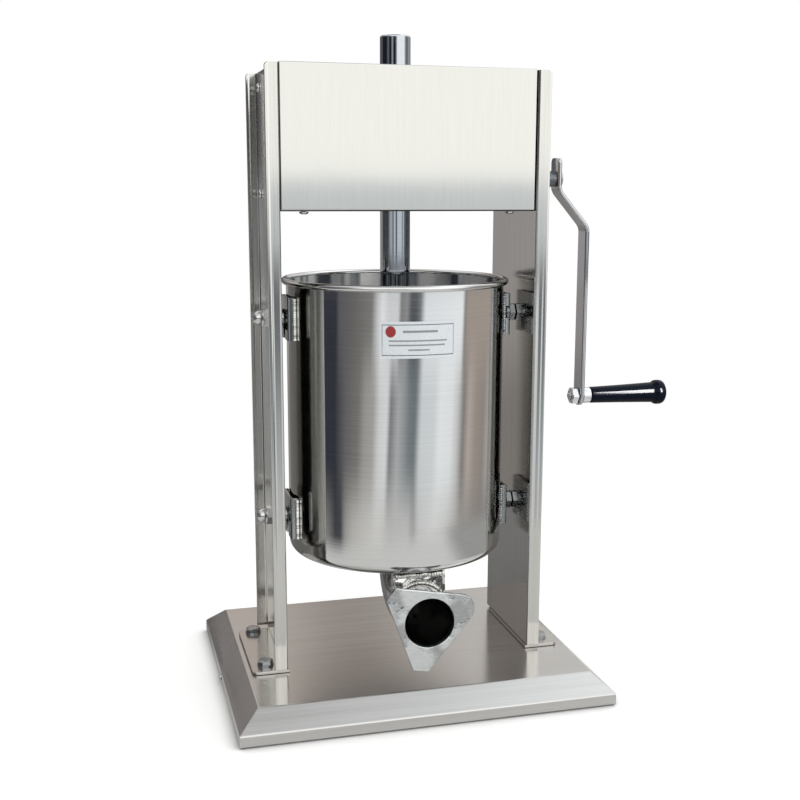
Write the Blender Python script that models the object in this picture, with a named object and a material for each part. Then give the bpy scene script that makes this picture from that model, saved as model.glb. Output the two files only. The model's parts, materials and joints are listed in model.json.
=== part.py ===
"""Manual vertical sausage stuffer: base tray, uprights, gear box, toothed rod and piston, vessel and crank.

Helpers take machine coordinates in millimetres: X to the right, Y to the back, Z up, with zero on the floor
under the middle of the base. The machine hangs on one empty, which puts the middle of its overall box on the
world's origin.
"""

import math

import bmesh
import bpy
import numpy as np
from mathutils import Vector

MM = 0.001
GAP = 0.3
MACHINE_X = -57.0

# Base tray
BASE_X, BASE_Y = 186.0, 155.0
TRAY_LOW, LIP_TOP, BASE_TOP = 1.5, 12.3, 30.0
BEVEL_IN = 20.3
TRAY_SHEET = 2.5
FOOT_X, FOOT_Y, FOOT_R = 148.0, 118.0, 12.0

# Uprights and their foot plates
WEB_IN, UPRIGHT_SHEET, FLANGE_OUT = 125.5, 2.5, 138.4
UPRIGHT_FRONT, UPRIGHT_BACK = -62.0, 69.0
PLATE_OUT, PLATE_FRONT, PLATE_BACK = 160.5, -61.5, 58.0
PLATE_TOP = BASE_TOP + GAP + 3.0
UPRIGHT_LOW, UPRIGHT_TOP = PLATE_TOP + GAP, 614.7
BOLT_X, BOLT_YS = 145.5, (-43.0, 48.5)
WEB_SCREW_Y, WEB_SCREW_LOW, WEB_SCREW_HIGH = 46.0, 496.3, 599.5

# Gear box
COVER_X, COVER_FRONT, COVER_BACK = 122.9, -59.4, 66.0
COVER_LOW, COVER_TOP, COVER_SHEET = 481.5, 615.8, 1.5
CROSS_X, CROSS_FRONT, CROSS_BACK, CROSS_SHEET = 119.4, -56.0, 63.0, 5.0
FLOOR_LOW = COVER_LOW + COVER_SHEET + GAP
ROOF_TOP = 612.5
END_FRONT, END_BACK = -46.0, 53.0
COVER_SCREW_X, COVER_SCREW_Y = 101.8, -50.0
SCREW_HOLE_R = 2.7
BUSH_R, BUSH_RIM_R = 19.0, 23.0
GEAR_PLATE_IN, GEAR_PLATE_OUT = 24.0, 30.0

# Rod and rack
ROD_Y, ROD_R, ROD_TOP = 4.0, 15.0, 648.7
RACK_MODULE = 2.5
RACK_TEETH_LOW, RACK_TEETH_HIGH = 268.0, 558.0
RACK_PITCH_Y = ROD_Y + 11.5
RACK_ADDENDUM, RACK_DEDENDUM = 2.2, 3.0

# Gears
RACK_PINION_TEETH = 10
PINION_Y, PINION_Z = RACK_PITCH_Y + RACK_MODULE * RACK_PINION_TEETH / 2, 542.0
DRIVE_MODULE, DRIVE_TEETH, CRANK_TEETH = 1.5, 44, 12
CRANK_Y = -2.0
CENTRES = DRIVE_MODULE * (DRIVE_TEETH + CRANK_TEETH) / 2
CRANK_Z = PINION_Z - math.sqrt(CENTRES**2 - (PINION_Y - CRANK_Y) ** 2)
PRESSURE = math.radians(20.0)

# Crank and grip
ARM_HUB_X, ARM_X, ARM_THICK, ARM_HALF = 167.3, 199.5, 4.5, 11.0
HUB_CORNER = 5.0
TENON_HALF = 5.0
GRIP_Z = 285.5
GRIP_END = 300.0

# Vessel
VESSEL_R, VESSEL_WALL = 110.0, 1.8
VESSEL_LOW, VESSEL_TOP = 135.0, 415.0
VESSEL_CORNER, BEAD_R = 10.0, 3.2
VESSEL_SEGMENTS = 48
POST_Y, POST_HIGH, POST_LOW = -2.0, 377.0, 176.5
BRACKET_IN, BRACKET_OUT = 112.0, 114.5
BRACKET_FRONT, BRACKET_BACK = -24.0, 20.0
BRACKET_HALF = 21.0

# Outlet
OUTLET_Y, OUTLET_Z, OUTLET_BEND = -37.0, 95.4, 38.0
OUTLET_R, OUTLET_BORE = 26.5, 24.25
FLANGE_FRONT, FLANGE_THICK = -132.0, 4.0
FLANGE_IN, FLANGE_CUTS, FLANGE_TURN = 31.0, (46.6, 49.5, 48.8), 20.0

# Piston
PISTON_LOW, PISTON_TOP, PISTON_R = 165.0, 183.0, 105.5
VALVE_X = 62.0

MATERIALS = {
    "brushed_steel": ((0.62, 0.60, 0.58), 0.34, 1.0),
    "polished_steel": ((0.72, 0.72, 0.72), 0.10, 1.0),
    "chrome": ((0.80, 0.81, 0.83), 0.06, 1.0),
    "zinc_steel": ((0.60, 0.61, 0.62), 0.30, 1.0),
    "gear_steel": ((0.42, 0.42, 0.43), 0.35, 1.0),
    "bronze": ((0.72, 0.50, 0.26), 0.32, 1.0),
    "black_plastic": ((0.012, 0.014, 0.018), 0.16, 0.0),
    "white_plastic": ((0.86, 0.86, 0.84), 0.42, 0.0),
    "silicone": ((0.80, 0.80, 0.78), 0.55, 0.0),
    "rubber": ((0.03, 0.03, 0.03), 0.75, 0.0),
    "label": ((0.90, 0.90, 0.89), 0.45, 0.0),
}


def material(name):
    found = bpy.data.materials.get(name)
    if found:
        return found
    colour, roughness, metallic = MATERIALS[name]
    made = bpy.data.materials.new(name)
    made.use_nodes = True
    shader = made.node_tree.nodes["Principled BSDF"]
    shader.inputs["Base Color"].default_value = (*colour, 1.0)
    shader.inputs["Roughness"].default_value = roughness
    shader.inputs["Metallic"].default_value = metallic
    made.diffuse_color = (*colour, 1.0)
    return made


def solid(name, shape, slot="brushed_steel", origin=(0.0, 0.0, 0.0)):
    """An object on the machine's empty from (points, faces) in millimetres, with its own origin."""
    points, faces = shape
    mesh = bpy.data.meshes.new(name)
    start = Vector(origin)
    mesh.from_pydata([(Vector(point) - start) * MM for point in points], [], faces)
    work = bmesh.new()
    work.from_mesh(mesh)
    bmesh.ops.recalc_face_normals(work, faces=work.faces)
    work.to_mesh(mesh)
    work.free()
    mesh.materials.append(material(slot))
    made = bpy.data.objects.new(name, mesh)
    made.location = start * MM
    made.parent = machine
    bpy.context.collection.objects.link(made)
    return made


def merge(target, operation, shapes):
    """Cuts the shapes from the target, or joins them to it, in one Boolean."""
    points, faces = [], []
    for more_points, more_faces in shapes:
        start = len(points)
        points += more_points
        faces += [tuple(start + corner for corner in face) for face in more_faces]
    tool = solid("tool", (points, faces))
    boolean = target.modifiers.new("boolean", "BOOLEAN")
    boolean.operation = operation
    boolean.solver = "EXACT"
    boolean.use_self = len(shapes) > 1
    boolean.object = tool
    bpy.context.view_layer.update()
    graph = bpy.context.evaluated_depsgraph_get()
    mesh = bpy.data.meshes.new_from_object(target.evaluated_get(graph))
    target.modifiers.clear()
    target.data = mesh
    bpy.data.objects.remove(tool)
    return target


def cut(target, *shapes):
    return merge(target, "DIFFERENCE", shapes)


def join(target, *shapes):
    return merge(target, "UNION", shapes)


def box(low, high):
    points = [(x, y, z) for x in (low[0], high[0]) for y in (low[1], high[1]) for z in (low[2], high[2])]
    faces = [(0, 1, 3, 2), (4, 6, 7, 5), (0, 4, 5, 1), (2, 3, 7, 6), (0, 2, 6, 4), (1, 5, 7, 3)]
    return points, faces


def on_axis(axis, along, first, second):
    """The point at `along` on the axis, with the other two coordinates in X, Y, Z order."""
    if axis == "x":
        return (along, first, second)
    if axis == "y":
        return (first, along, second)
    return (first, second, along)


def prism(outline, axis, low, high):
    """A flat outline pushed along an axis. The outline is in the other two coordinates, in X, Y, Z order."""
    count = len(outline)
    points = [on_axis(axis, along, *corner) for along in (low, high) for corner in outline]
    faces = [tuple(range(count)), tuple(range(2 * count - 1, count - 1, -1))]
    for i in range(count):
        j = (i + 1) % count
        faces.append((i, j, count + j, count + i))
    return points, faces


def turned(profile, axis, centre, segments=24):
    """A closed profile of (radius, along) turned about an axis; a third value, "hex", makes a ring a hexagon.

    A hexagon's first value is half its width across flats. The centre is in the other two coordinates. A
    profile that starts and ends on the axis closes itself there.
    """
    points, rings = [], []
    for radius, along, *form in profile:
        if radius == 0.0:
            rings.append([len(points)])
            points.append(on_axis(axis, along, *centre))
            continue
        ring = []
        for i in range(segments):
            angle = 2 * math.pi * i / segments
            reach = radius
            if form:
                reach = radius / math.cos((angle % (math.pi / 3)) - math.pi / 6)
            ring.append(len(points))
            first = centre[0] + reach * math.cos(angle)
            second = centre[1] + reach * math.sin(angle)
            points.append(on_axis(axis, along, first, second))
        rings.append(ring)
    faces = []
    pairs = list(zip(rings, rings[1:]))
    if len(rings[0]) > 1:
        pairs.append((rings[-1], rings[0]))
    for one, other in pairs:
        for i in range(segments):
            j = (i + 1) % segments
            if len(one) == 1:
                faces.append((one[0], other[j], other[i]))
            elif len(other) == 1:
                faces.append((one[i], one[j], other[0]))
            else:
                faces.append((one[i], one[j], other[j], other[i]))
    return points, faces


def rod(radius, axis, centre, low, high, segments=24):
    return turned([(0.0, low), (radius, low), (radius, high), (0.0, high)], axis, centre, segments)


def tube(outer, inner, axis, centre, low, high, segments=24):
    return turned([(inner, low), (outer, low), (outer, high), (inner, high)], axis, centre, segments)


def loft(rings):
    """Rings of equal count joined in order, with flat ends."""
    count = len(rings[0])
    points = [point for ring in rings for point in ring]
    faces = [tuple(range(count)), tuple(range(len(points) - 1, len(points) - 1 - count, -1))]
    for k in range(len(rings) - 1):
        for i in range(count):
            j = (i + 1) % count
            faces.append((k * count + i, k * count + j, (k + 1) * count + j, (k + 1) * count + i))
    return points, faces


def mirrored(outline, side):
    """The outline with its first coordinate on the left (-1) or right (1) side."""
    return [(side * first, second) for first, second in outline]


def span(side, low, high):
    """Low and high along X for a piece on the left or right side."""
    return (low, high) if side > 0 else (-high, -low)


def smooth(made, angle=35.0):
    made.data.shade_smooth()
    made.data.set_sharp_from_angle(angle=math.radians(angle))


def tooth_levels(teeth, module, addendum, dedendum, thinning, levels=6):
    """(radius, half angle) up one tooth, found by rolling the wheel past a straight-sided rack."""
    pitch_r = module * teeth / 2
    pitch = math.pi * module
    roll = np.linspace(-0.9, 0.9, 1201)[None, :]
    angles = np.linspace(0.0, math.pi / teeth, 401)
    found = []
    for radius in np.linspace(pitch_r - dedendum + 0.05, pitch_r + addendum, levels):
        towards = radius * np.cos(angles[:, None] + roll)
        along = radius * np.sin(angles[:, None] + roll) - pitch_r * roll
        from_tooth = np.abs((along % pitch) - pitch / 2)
        half_width = pitch / 4 + thinning / 2 + (towards - pitch_r) * math.tan(PRESSURE)
        inside = (towards >= pitch_r - dedendum) & (from_tooth <= half_width)
        removed = inside.any(axis=1)
        half = angles[np.argmax(removed)] if removed.any() else angles[-1]
        found.append((float(radius), min(float(half), 0.94 * math.pi / teeth)))
    return found


def gear_outline(teeth, module, addendum, dedendum, thinning, centre, first_tooth, levels=6):
    """A wheel's outline in Y and Z, with one tooth centred on the angle first_tooth from +Y towards +Z."""
    tooth = tooth_levels(teeth, module, addendum, dedendum, thinning, levels)
    outline = []
    for k in range(teeth):
        middle = first_tooth + 2 * math.pi * k / teeth
        sides = [(radius, middle - half) for radius, half in tooth]
        sides += [(radius, middle + half) for radius, half in reversed(tooth)]
        for radius, angle in sides:
            outline.append((centre[0] + radius * math.cos(angle), centre[1] + radius * math.sin(angle)))
    return outline


def rack_comb():
    """The shape that leaves the rack's teeth standing on the back of the rod."""
    pitch = math.pi * RACK_MODULE
    tip = RACK_PITCH_Y + RACK_ADDENDUM
    root = RACK_PITCH_Y - RACK_DEDENDUM
    backlash = 0.35
    tip_half = pitch / 4 + backlash / 2 + RACK_ADDENDUM * math.tan(PRESSURE)
    root_half = pitch / 4 + backlash / 2 - RACK_DEDENDUM * math.tan(PRESSURE)
    outline = [(ROD_Y + 20.0, RACK_TEETH_LOW), (tip, RACK_TEETH_LOW)]
    first = math.ceil((RACK_TEETH_LOW + tip_half + 1.0 - PINION_Z) / pitch)
    last = math.floor((RACK_TEETH_HIGH - tip_half - 1.0 - PINION_Z) / pitch)
    for k in range(first, last + 1):
        middle = PINION_Z + k * pitch
        outline += [(tip, middle - tip_half), (root, middle - root_half)]
        outline += [(root, middle + root_half), (tip, middle + tip_half)]
    outline += [(tip, RACK_TEETH_HIGH), (ROD_Y + 20.0, RACK_TEETH_HIGH)]
    return prism(outline, "x", -20.0, 20.0)


def base_pieces():
    def loop(inset, height):
        x, y = BASE_X - inset, BASE_Y - inset
        return [(-x, -y, height), (x, -y, height), (x, y, height), (-x, y, height)]

    outer = [loop(0, TRAY_LOW), loop(0, LIP_TOP), loop(BEVEL_IN, BASE_TOP)]
    inner = [
        loop(BEVEL_IN + 0.8, BASE_TOP - TRAY_SHEET),
        loop(TRAY_SHEET, LIP_TOP - 0.8),
        loop(TRAY_SHEET, TRAY_LOW),
    ]
    points = [point for ring in outer + inner for point in ring]
    faces = [(8, 9, 10, 11), (12, 15, 14, 13)]
    for k, following in ((0, 1), (1, 2), (3, 4), (4, 5), (5, 0)):
        for i in range(4):
            j = (i + 1) % 4
            faces.append((k * 4 + i, k * 4 + j, following * 4 + j, following * 4 + i))
    tray = solid("base_pan", (points, faces))
    spots = [(side * BOLT_X, y) for side in (-1, 1) for y in BOLT_YS]
    under = BASE_TOP - TRAY_SHEET
    join(tray, *[tube(8.0, 4.7, "z", spot, under - 8.0, under + 1.0, 12) for spot in spots])
    cut(
        tray,
        *[rod(4.3, "z", spot, under - 3.0, BASE_TOP + 1.0, 12) for spot in spots],
        rod(2.4, "x", (0.0, 6.9), -BASE_X - 1.0, -BASE_X + TRAY_SHEET + 1.0, 12),
    )
    screw = [(0.0, -BASE_X + 10.0), (2.0, -BASE_X + 10.0), (2.0, -BASE_X - GAP), (3.5, -BASE_X - GAP)]
    screw += [(3.2, -BASE_X - 1.6), (1.6, -BASE_X - 2.3), (0.0, -BASE_X - 2.3)]
    smooth(solid("lip_screw", turned(screw, "x", (0.0, 6.9), 16), "zinc_steel"))
    for name, x, y in (
        ("foot_fl", -FOOT_X, -FOOT_Y),
        ("foot_fr", FOOT_X, -FOOT_Y),
        ("foot_bl", -FOOT_X, FOOT_Y),
        ("foot_br", FOOT_X, FOOT_Y),
    ):
        top = under - GAP
        profile = [(0.0, 0.0), (FOOT_R - 1.5, 0.0), (FOOT_R, 1.5), (FOOT_R - 1.0, top), (0.0, top)]
        smooth(solid(name, turned(profile, "z", (x, y), 20), "rubber"))


def upright_pieces():
    bend = 1.2
    channel = [
        (FLANGE_OUT, UPRIGHT_FRONT),
        (FLANGE_OUT, UPRIGHT_FRONT + UPRIGHT_SHEET),
        (WEB_IN + UPRIGHT_SHEET, UPRIGHT_FRONT + UPRIGHT_SHEET),
        (WEB_IN + UPRIGHT_SHEET, UPRIGHT_BACK - UPRIGHT_SHEET),
        (FLANGE_OUT, UPRIGHT_BACK - UPRIGHT_SHEET),
        (FLANGE_OUT, UPRIGHT_BACK),
        (WEB_IN + bend, UPRIGHT_BACK),
        (WEB_IN, UPRIGHT_BACK - bend),
        (WEB_IN, UPRIGHT_FRONT + bend),
        (WEB_IN + bend, UPRIGHT_FRONT),
    ]
    for side, name in ((-1, "left"), (1, "right")):
        upright = solid(f"upright_{name}", prism(mirrored(channel, side), "z", UPRIGHT_LOW, UPRIGHT_TOP))
        through = span(side, WEB_IN - 2.0, WEB_IN + UPRIGHT_SHEET + 2.0)
        holes = [rod(5.4, "x", (POST_Y, z), *through, 12) for z in (POST_LOW, POST_HIGH)]
        for z in (WEB_SCREW_LOW, WEB_SCREW_HIGH):
            holes.append(rod(SCREW_HOLE_R, "x", (WEB_SCREW_Y, z), *through, 12))
        if side > 0:
            holes.append(rod(12.3, "x", (CRANK_Y, CRANK_Z), *through, 24))
        cut(upright, *holes)
        round_in = 2.4
        plate = [
            (WEB_IN - 1.5, PLATE_FRONT),
            (PLATE_OUT - 3 * round_in, PLATE_FRONT),
            (PLATE_OUT - round_in, PLATE_FRONT + round_in / 2),
            (PLATE_OUT - round_in / 2, PLATE_FRONT + round_in),
            (PLATE_OUT, PLATE_FRONT + 3 * round_in),
            (PLATE_OUT, PLATE_BACK - 3 * round_in),
            (PLATE_OUT - round_in / 2, PLATE_BACK - round_in),
            (PLATE_OUT - round_in, PLATE_BACK - round_in / 2),
            (PLATE_OUT - 3 * round_in, PLATE_BACK),
            (WEB_IN - 1.5, PLATE_BACK),
        ]
        foot = solid(f"foot_plate_{name}", prism(mirrored(plate, side), "z", BASE_TOP + GAP, PLATE_TOP))
        cut(foot, *[rod(4.4, "z", (side * BOLT_X, y), BASE_TOP - 1.0, PLATE_TOP + 1.0, 12) for y in BOLT_YS])
        for end, y in zip("fr", BOLT_YS):
            top = PLATE_TOP + GAP
            profile = [(0.0, top + 5.3), (5.8, top + 5.3), (6.5, top + 4.7, "hex"), (6.5, top, "hex")]
            profile += [(3.9, top), (3.9, BASE_TOP - 9.0), (0.0, BASE_TOP - 9.0)]
            bolt = turned(profile, "z", (side * BOLT_X, y), 12)
            solid(f"foot_bolt_{name[0]}{end}", bolt, "zinc_steel")
        for height, z in (("l", POST_LOW), ("u", POST_HIGH)):
            post_pieces(side, height + name[0], z)
        for height, z in (("l", WEB_SCREW_LOW), ("u", WEB_SCREW_HIGH)):
            out = side * (WEB_IN + UPRIGHT_SHEET + GAP)
            profile = [(0.0, side * 120.5), (2.4, side * 120.5), (2.4, out), (4.2, out)]
            profile += [(4.0, out + side * 1.6), (2.0, out + side * 2.4), (0.0, out + side * 2.4)]
            screw = turned(profile, "x", (WEB_SCREW_Y, z), 12)
            smooth(solid(f"web_screw_{height}{name[0]}", screw, "zinc_steel"))


def post_pieces(side, name, z):
    """A vessel pin with its collar and hexagon, and the dome nut that holds it outside the upright."""
    web_out = WEB_IN + UPRIGHT_SHEET
    pin = [
        (0.0, 110.9),
        (4.2, 110.9),
        (5.0, 111.7),
        (5.0, 115.6),
        (8.5, 115.6),
        (8.5, 118.6),
        (8.2, 118.6, "hex"),
        (8.2, WEB_IN - GAP, "hex"),
        (5.0, WEB_IN - GAP),
        (5.0, web_out + 9.0),
        (0.0, web_out + 9.0),
    ]
    start = web_out + GAP
    nut = [
        (0.0, start + 12.0),
        (5.4, start + 10.0),
        (5.4, start),
        (8.5, start, "hex"),
        (8.5, start + 7.2, "hex"),
        (8.0, start + 7.8),
        (8.0, start + 10.5),
        (7.4, start + 13.4),
        (5.6, start + 16.0),
        (3.0, start + 17.5),
        (0.0, start + 18.0),
    ]
    for piece, profile in ((f"post_{name}", pin), (f"acorn_nut_{name}", nut)):
        placed = [(entry[0], side * entry[1], *entry[2:]) for entry in profile]
        smooth(solid(piece, turned(placed, "x", (POST_Y, z), 18), "zinc_steel"))


def gearbox_pieces():
    cover = solid(
        "gearbox_cover", box((-COVER_X, COVER_FRONT, COVER_LOW), (COVER_X, COVER_BACK, COVER_TOP))
    )
    sheet = COVER_SHEET
    cut(
        cover,
        box(
            (-COVER_X + sheet, COVER_FRONT + sheet, COVER_LOW + sheet),
            (COVER_X - sheet, COVER_BACK - sheet, COVER_TOP - sheet),
        ),
        box((-COVER_X - 5, END_FRONT - 1, COVER_LOW + sheet), (COVER_X + 5, END_BACK + 1, COVER_TOP - sheet)),
        box((-COVER_X - 5, END_FRONT + 4, COVER_LOW - 5), (COVER_X + 5, END_BACK - 4, COVER_LOW + 5)),
        rod(ROD_R + 1.5, "z", (0.0, ROD_Y), COVER_TOP - 5, COVER_TOP + 5, 32),
        *[
            rod(SCREW_HOLE_R, "z", (x, COVER_SCREW_Y), COVER_LOW - 5, COVER_LOW + 5, 12)
            for x in (-COVER_SCREW_X, COVER_SCREW_X)
        ],
    )
    floor_top = FLOOR_LOW + CROSS_SHEET
    floor = solid(
        "gearbox_floor", box((-CROSS_X, CROSS_FRONT, FLOOR_LOW), (CROSS_X, CROSS_BACK, floor_top))
    )
    roof_low = ROOF_TOP - CROSS_SHEET
    roof = solid("gearbox_roof", box((-CROSS_X, CROSS_FRONT, roof_low), (CROSS_X, CROSS_BACK, ROOF_TOP)))
    end_in, end_out = CROSS_X - 1.0, WEB_IN - GAP
    floor_ends, roof_ends, floor_holes, roof_holes = [], [], [], []
    for side in (-1, 1):
        low, high = span(side, end_in, end_out)
        floor_ends.append(box((low, END_FRONT, FLOOR_LOW), (high, END_BACK, FLOOR_LOW + 25.0)))
        roof_ends.append(box((low, END_FRONT, ROOF_TOP - 25.0), (high, END_BACK, ROOF_TOP)))
        floor_holes.append(rod(SCREW_HOLE_R, "x", (WEB_SCREW_Y, WEB_SCREW_LOW), low - 5, high + 5, 12))
        roof_holes.append(rod(SCREW_HOLE_R, "x", (WEB_SCREW_Y, WEB_SCREW_HIGH), low - 5, high + 5, 12))
        spot = (side * COVER_SCREW_X, COVER_SCREW_Y)
        floor_holes.append(rod(SCREW_HOLE_R, "z", spot, FLOOR_LOW - 5, floor_top + 5, 12))
    join(floor, *floor_ends)
    join(roof, *roof_ends)
    floor_holes.append(rod(13.0, "x", (CRANK_Y, CRANK_Z), end_in - 5, end_out + 5, 24))
    cut(floor, rod(BUSH_R + GAP, "z", (0.0, ROD_Y), FLOOR_LOW - 5, floor_top + 5, 32), *floor_holes)
    cut(roof, rod(BUSH_R + GAP, "z", (0.0, ROD_Y), roof_low - 5, ROOF_TOP + 5, 32), *roof_holes)
    for side, name in ((-1, "left"), (1, "right")):
        head = COVER_LOW - GAP
        profile = [(0.0, head - 2.6), (2.6, head - 2.4), (4.4, head - 1.4), (4.4, head), (2.4, head)]
        profile += [(2.4, floor_top + 4.0), (0.0, floor_top + 4.0)]
        screw = turned(profile, "z", (side * COVER_SCREW_X, COVER_SCREW_Y), 12)
        smooth(solid(f"cover_screw_{name}", screw, "zinc_steel"))
        low, high = span(side, GEAR_PLATE_IN, GEAR_PLATE_OUT)
        plate = solid(
            f"gear_plate_{name}",
            box((low, -24.0, floor_top + GAP), (high, 60.0, roof_low - GAP)),
            "gear_steel",
        )
        bores = [rod(8.3, "x", (PINION_Y, PINION_Z), low - 5, high + 5, 24)]
        if side > 0:
            bores.append(rod(6.3, "x", (CRANK_Y, CRANK_Z), low - 5, high + 5, 24))
        cut(plate, *bores)
    bore = ROD_R + GAP
    start = FLOOR_LOW + GAP
    lower = [(bore, start), (BUSH_R, start), (BUSH_R, floor_top + GAP), (BUSH_RIM_R, floor_top + GAP)]
    lower += [(BUSH_RIM_R, floor_top + 3.5), (BUSH_R, floor_top + 3.5)]
    lower += [(BUSH_R, floor_top + 16.0), (bore, floor_top + 16.0)]
    smooth(solid("rod_bush_lower", turned(lower, "z", (0.0, ROD_Y), 24), "bronze"))
    start = ROOF_TOP - GAP
    upper = [(bore, start), (BUSH_R, start), (BUSH_R, roof_low - GAP), (BUSH_RIM_R, roof_low - GAP)]
    upper += [(BUSH_RIM_R, roof_low - 3.5), (BUSH_R, roof_low - 3.5)]
    upper += [(BUSH_R, roof_low - 12.0), (bore, roof_low - 12.0)]
    smooth(solid("rod_bush_upper", turned(upper, "z", (0.0, ROD_Y), 24), "bronze"))
    out = WEB_IN + UPRIGHT_SHEET
    bush = [(8.3, 117.0), (12.0, 117.0), (12.0, out + GAP), (17.0, out + GAP)]
    bush += [(17.0, out + 3.3), (12.0, out + 3.3), (12.0, out + 8.0), (8.3, out + 8.0)]
    smooth(solid("crank_bush", turned(bush, "x", (CRANK_Y, CRANK_Z), 24), "bronze"))


def rod_pieces():
    shoulder = PISTON_TOP + GAP
    origin = (0.0, ROD_Y, shoulder)
    profile = [
        (0.0, PISTON_LOW + 2.0),
        (7.9, PISTON_LOW + 2.0),
        (7.9, shoulder),
        (ROD_R, shoulder),
        (ROD_R, ROD_TOP - 2.0),
        (ROD_R - 2.0, ROD_TOP),
        (0.0, ROD_TOP),
    ]
    rack = solid("rack_rod", turned(profile, "z", (0.0, ROD_Y), 32), "chrome", origin)
    cut(rack, rack_comb())
    smooth(rack)
    groove_low, groove_high = PISTON_LOW + 5.0, PISTON_LOW + 13.0
    plate = [
        (8.3, PISTON_LOW),
        (PISTON_R - 4.0, PISTON_LOW),
        (PISTON_R, PISTON_LOW + 4.0),
        (PISTON_R, groove_low),
        (PISTON_R - 4.5, groove_low),
        (PISTON_R - 4.5, groove_high),
        (PISTON_R, groove_high),
        (PISTON_R, PISTON_TOP - 1.0),
        (PISTON_R - 1.0, PISTON_TOP),
        (8.3, PISTON_TOP),
    ]
    piston = solid("piston_plate", turned(plate, "z", (0.0, ROD_Y), VESSEL_SEGMENTS), "white_plastic", origin)
    cut(
        piston,
        rod(16.5, "z", (0.0, ROD_Y), PISTON_LOW - 5, PISTON_LOW + 10.0, 24),
        rod(8.8, "z", (VALVE_X, ROD_Y), PISTON_LOW - 5, PISTON_LOW + 9.0, 20),
        rod(3.2, "z", (VALVE_X, ROD_Y), PISTON_LOW, PISTON_TOP + 5, 16),
    )
    smooth(piston)
    low, high = groove_low + GAP, groove_high - GAP
    ring_in, ring_out = PISTON_R - 4.2, PISTON_R + 2.1
    ring = [(ring_in, low), (ring_out - 1.2, low), (ring_out, low + 1.6)]
    ring += [(ring_out, high - 1.6), (ring_out - 1.2, high), (ring_in, high)]
    smooth(solid("piston_seal", turned(ring, "z", (0.0, ROD_Y), VESSEL_SEGMENTS), "silicone", origin))
    nut_low, nut_high = PISTON_LOW + 0.8, PISTON_LOW + 10.0 - GAP
    nut = [(8.2, nut_low), (12.0, nut_low, "hex"), (12.0, nut_high, "hex"), (8.2, nut_high)]
    solid("piston_nut", turned(nut, "z", (0.0, ROD_Y), 24), "zinc_steel", origin)
    disc = PISTON_LOW + 0.5
    poppet = [(0.0, disc), (7.5, disc), (8.0, disc + 0.8), (8.0, disc + 3.2), (2.8, disc + 3.2)]
    cap = PISTON_TOP + GAP
    poppet += [(2.8, cap), (5.5, cap), (5.5, cap + 1.7), (0.0, cap + 2.3)]
    valve_origin = (VALVE_X, ROD_Y, disc)
    smooth(solid("air_valve", turned(poppet, "z", (VALVE_X, ROD_Y), 20), "zinc_steel", valve_origin))


def gear_pieces():
    pinion_origin = (0.0, PINION_Y, PINION_Z)
    spindle = [(0.0, -38.0), (8.0, -38.0), (8.0, -23.6), (10.5, -23.6), (10.5, -19.0), (8.0, -19.0)]
    spindle += [(8.0, 19.0), (10.5, 19.0), (10.5, 23.6), (8.0, 23.6), (8.0, 58.0), (0.0, 58.0)]
    shaft = solid("pinion_shaft", turned(spindle, "x", pinion_origin[1:], 24), "gear_steel", pinion_origin)
    teeth = gear_outline(
        RACK_PINION_TEETH, RACK_MODULE, 2.2, RACK_DEDENDUM, 0.4, pinion_origin[1:], math.pi, 9
    )
    join(shaft, prism(teeth, "x", -13.0, 13.0))
    mesh_angle = math.atan2(CRANK_Z - PINION_Z, CRANK_Y - PINION_Y)
    teeth = gear_outline(DRIVE_TEETH, DRIVE_MODULE, 1.3, 1.9, 0.35, pinion_origin[1:], mesh_angle, 4)
    drive = solid("drive_gear", prism(teeth, "x", 35.5, 47.5), "gear_steel", pinion_origin)
    join(drive, rod(13.0, "x", pinion_origin[1:], 46.5, 55.0, 24))
    cut(drive, rod(8.3, "x", pinion_origin[1:], 30.0, 60.0, 24))
    crank_origin = (ARM_HUB_X, CRANK_Y, CRANK_Z)
    centre = crank_origin[1:]
    spindle = [(0.0, 22.0), (6.0, 22.0), (6.0, 48.4), (8.0, 48.4)]
    spindle += [(8.0, ARM_HUB_X - GAP), (0.0, ARM_HUB_X - GAP)]
    shaft = solid("crank_shaft", turned(spindle, "x", centre, 24), "zinc_steel", crank_origin)
    half_tooth = math.pi / CRANK_TEETH
    teeth = gear_outline(
        CRANK_TEETH, DRIVE_MODULE, 1.3, 1.9, 0.35, centre, mesh_angle + math.pi + half_tooth, 9
    )
    square = TENON_HALF
    tenon = box(
        (ARM_HUB_X - 2, CRANK_Y - square, CRANK_Z - square),
        (ARM_HUB_X + ARM_THICK - 0.4, CRANK_Y + square, CRANK_Z + square),
    )
    join(shaft, prism(teeth, "x", 34.0, 49.0), tenon)
    cut(shaft, rod(3.9, "x", centre, ARM_HUB_X - 20.0, ARM_HUB_X + 20.0, 16))


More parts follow.
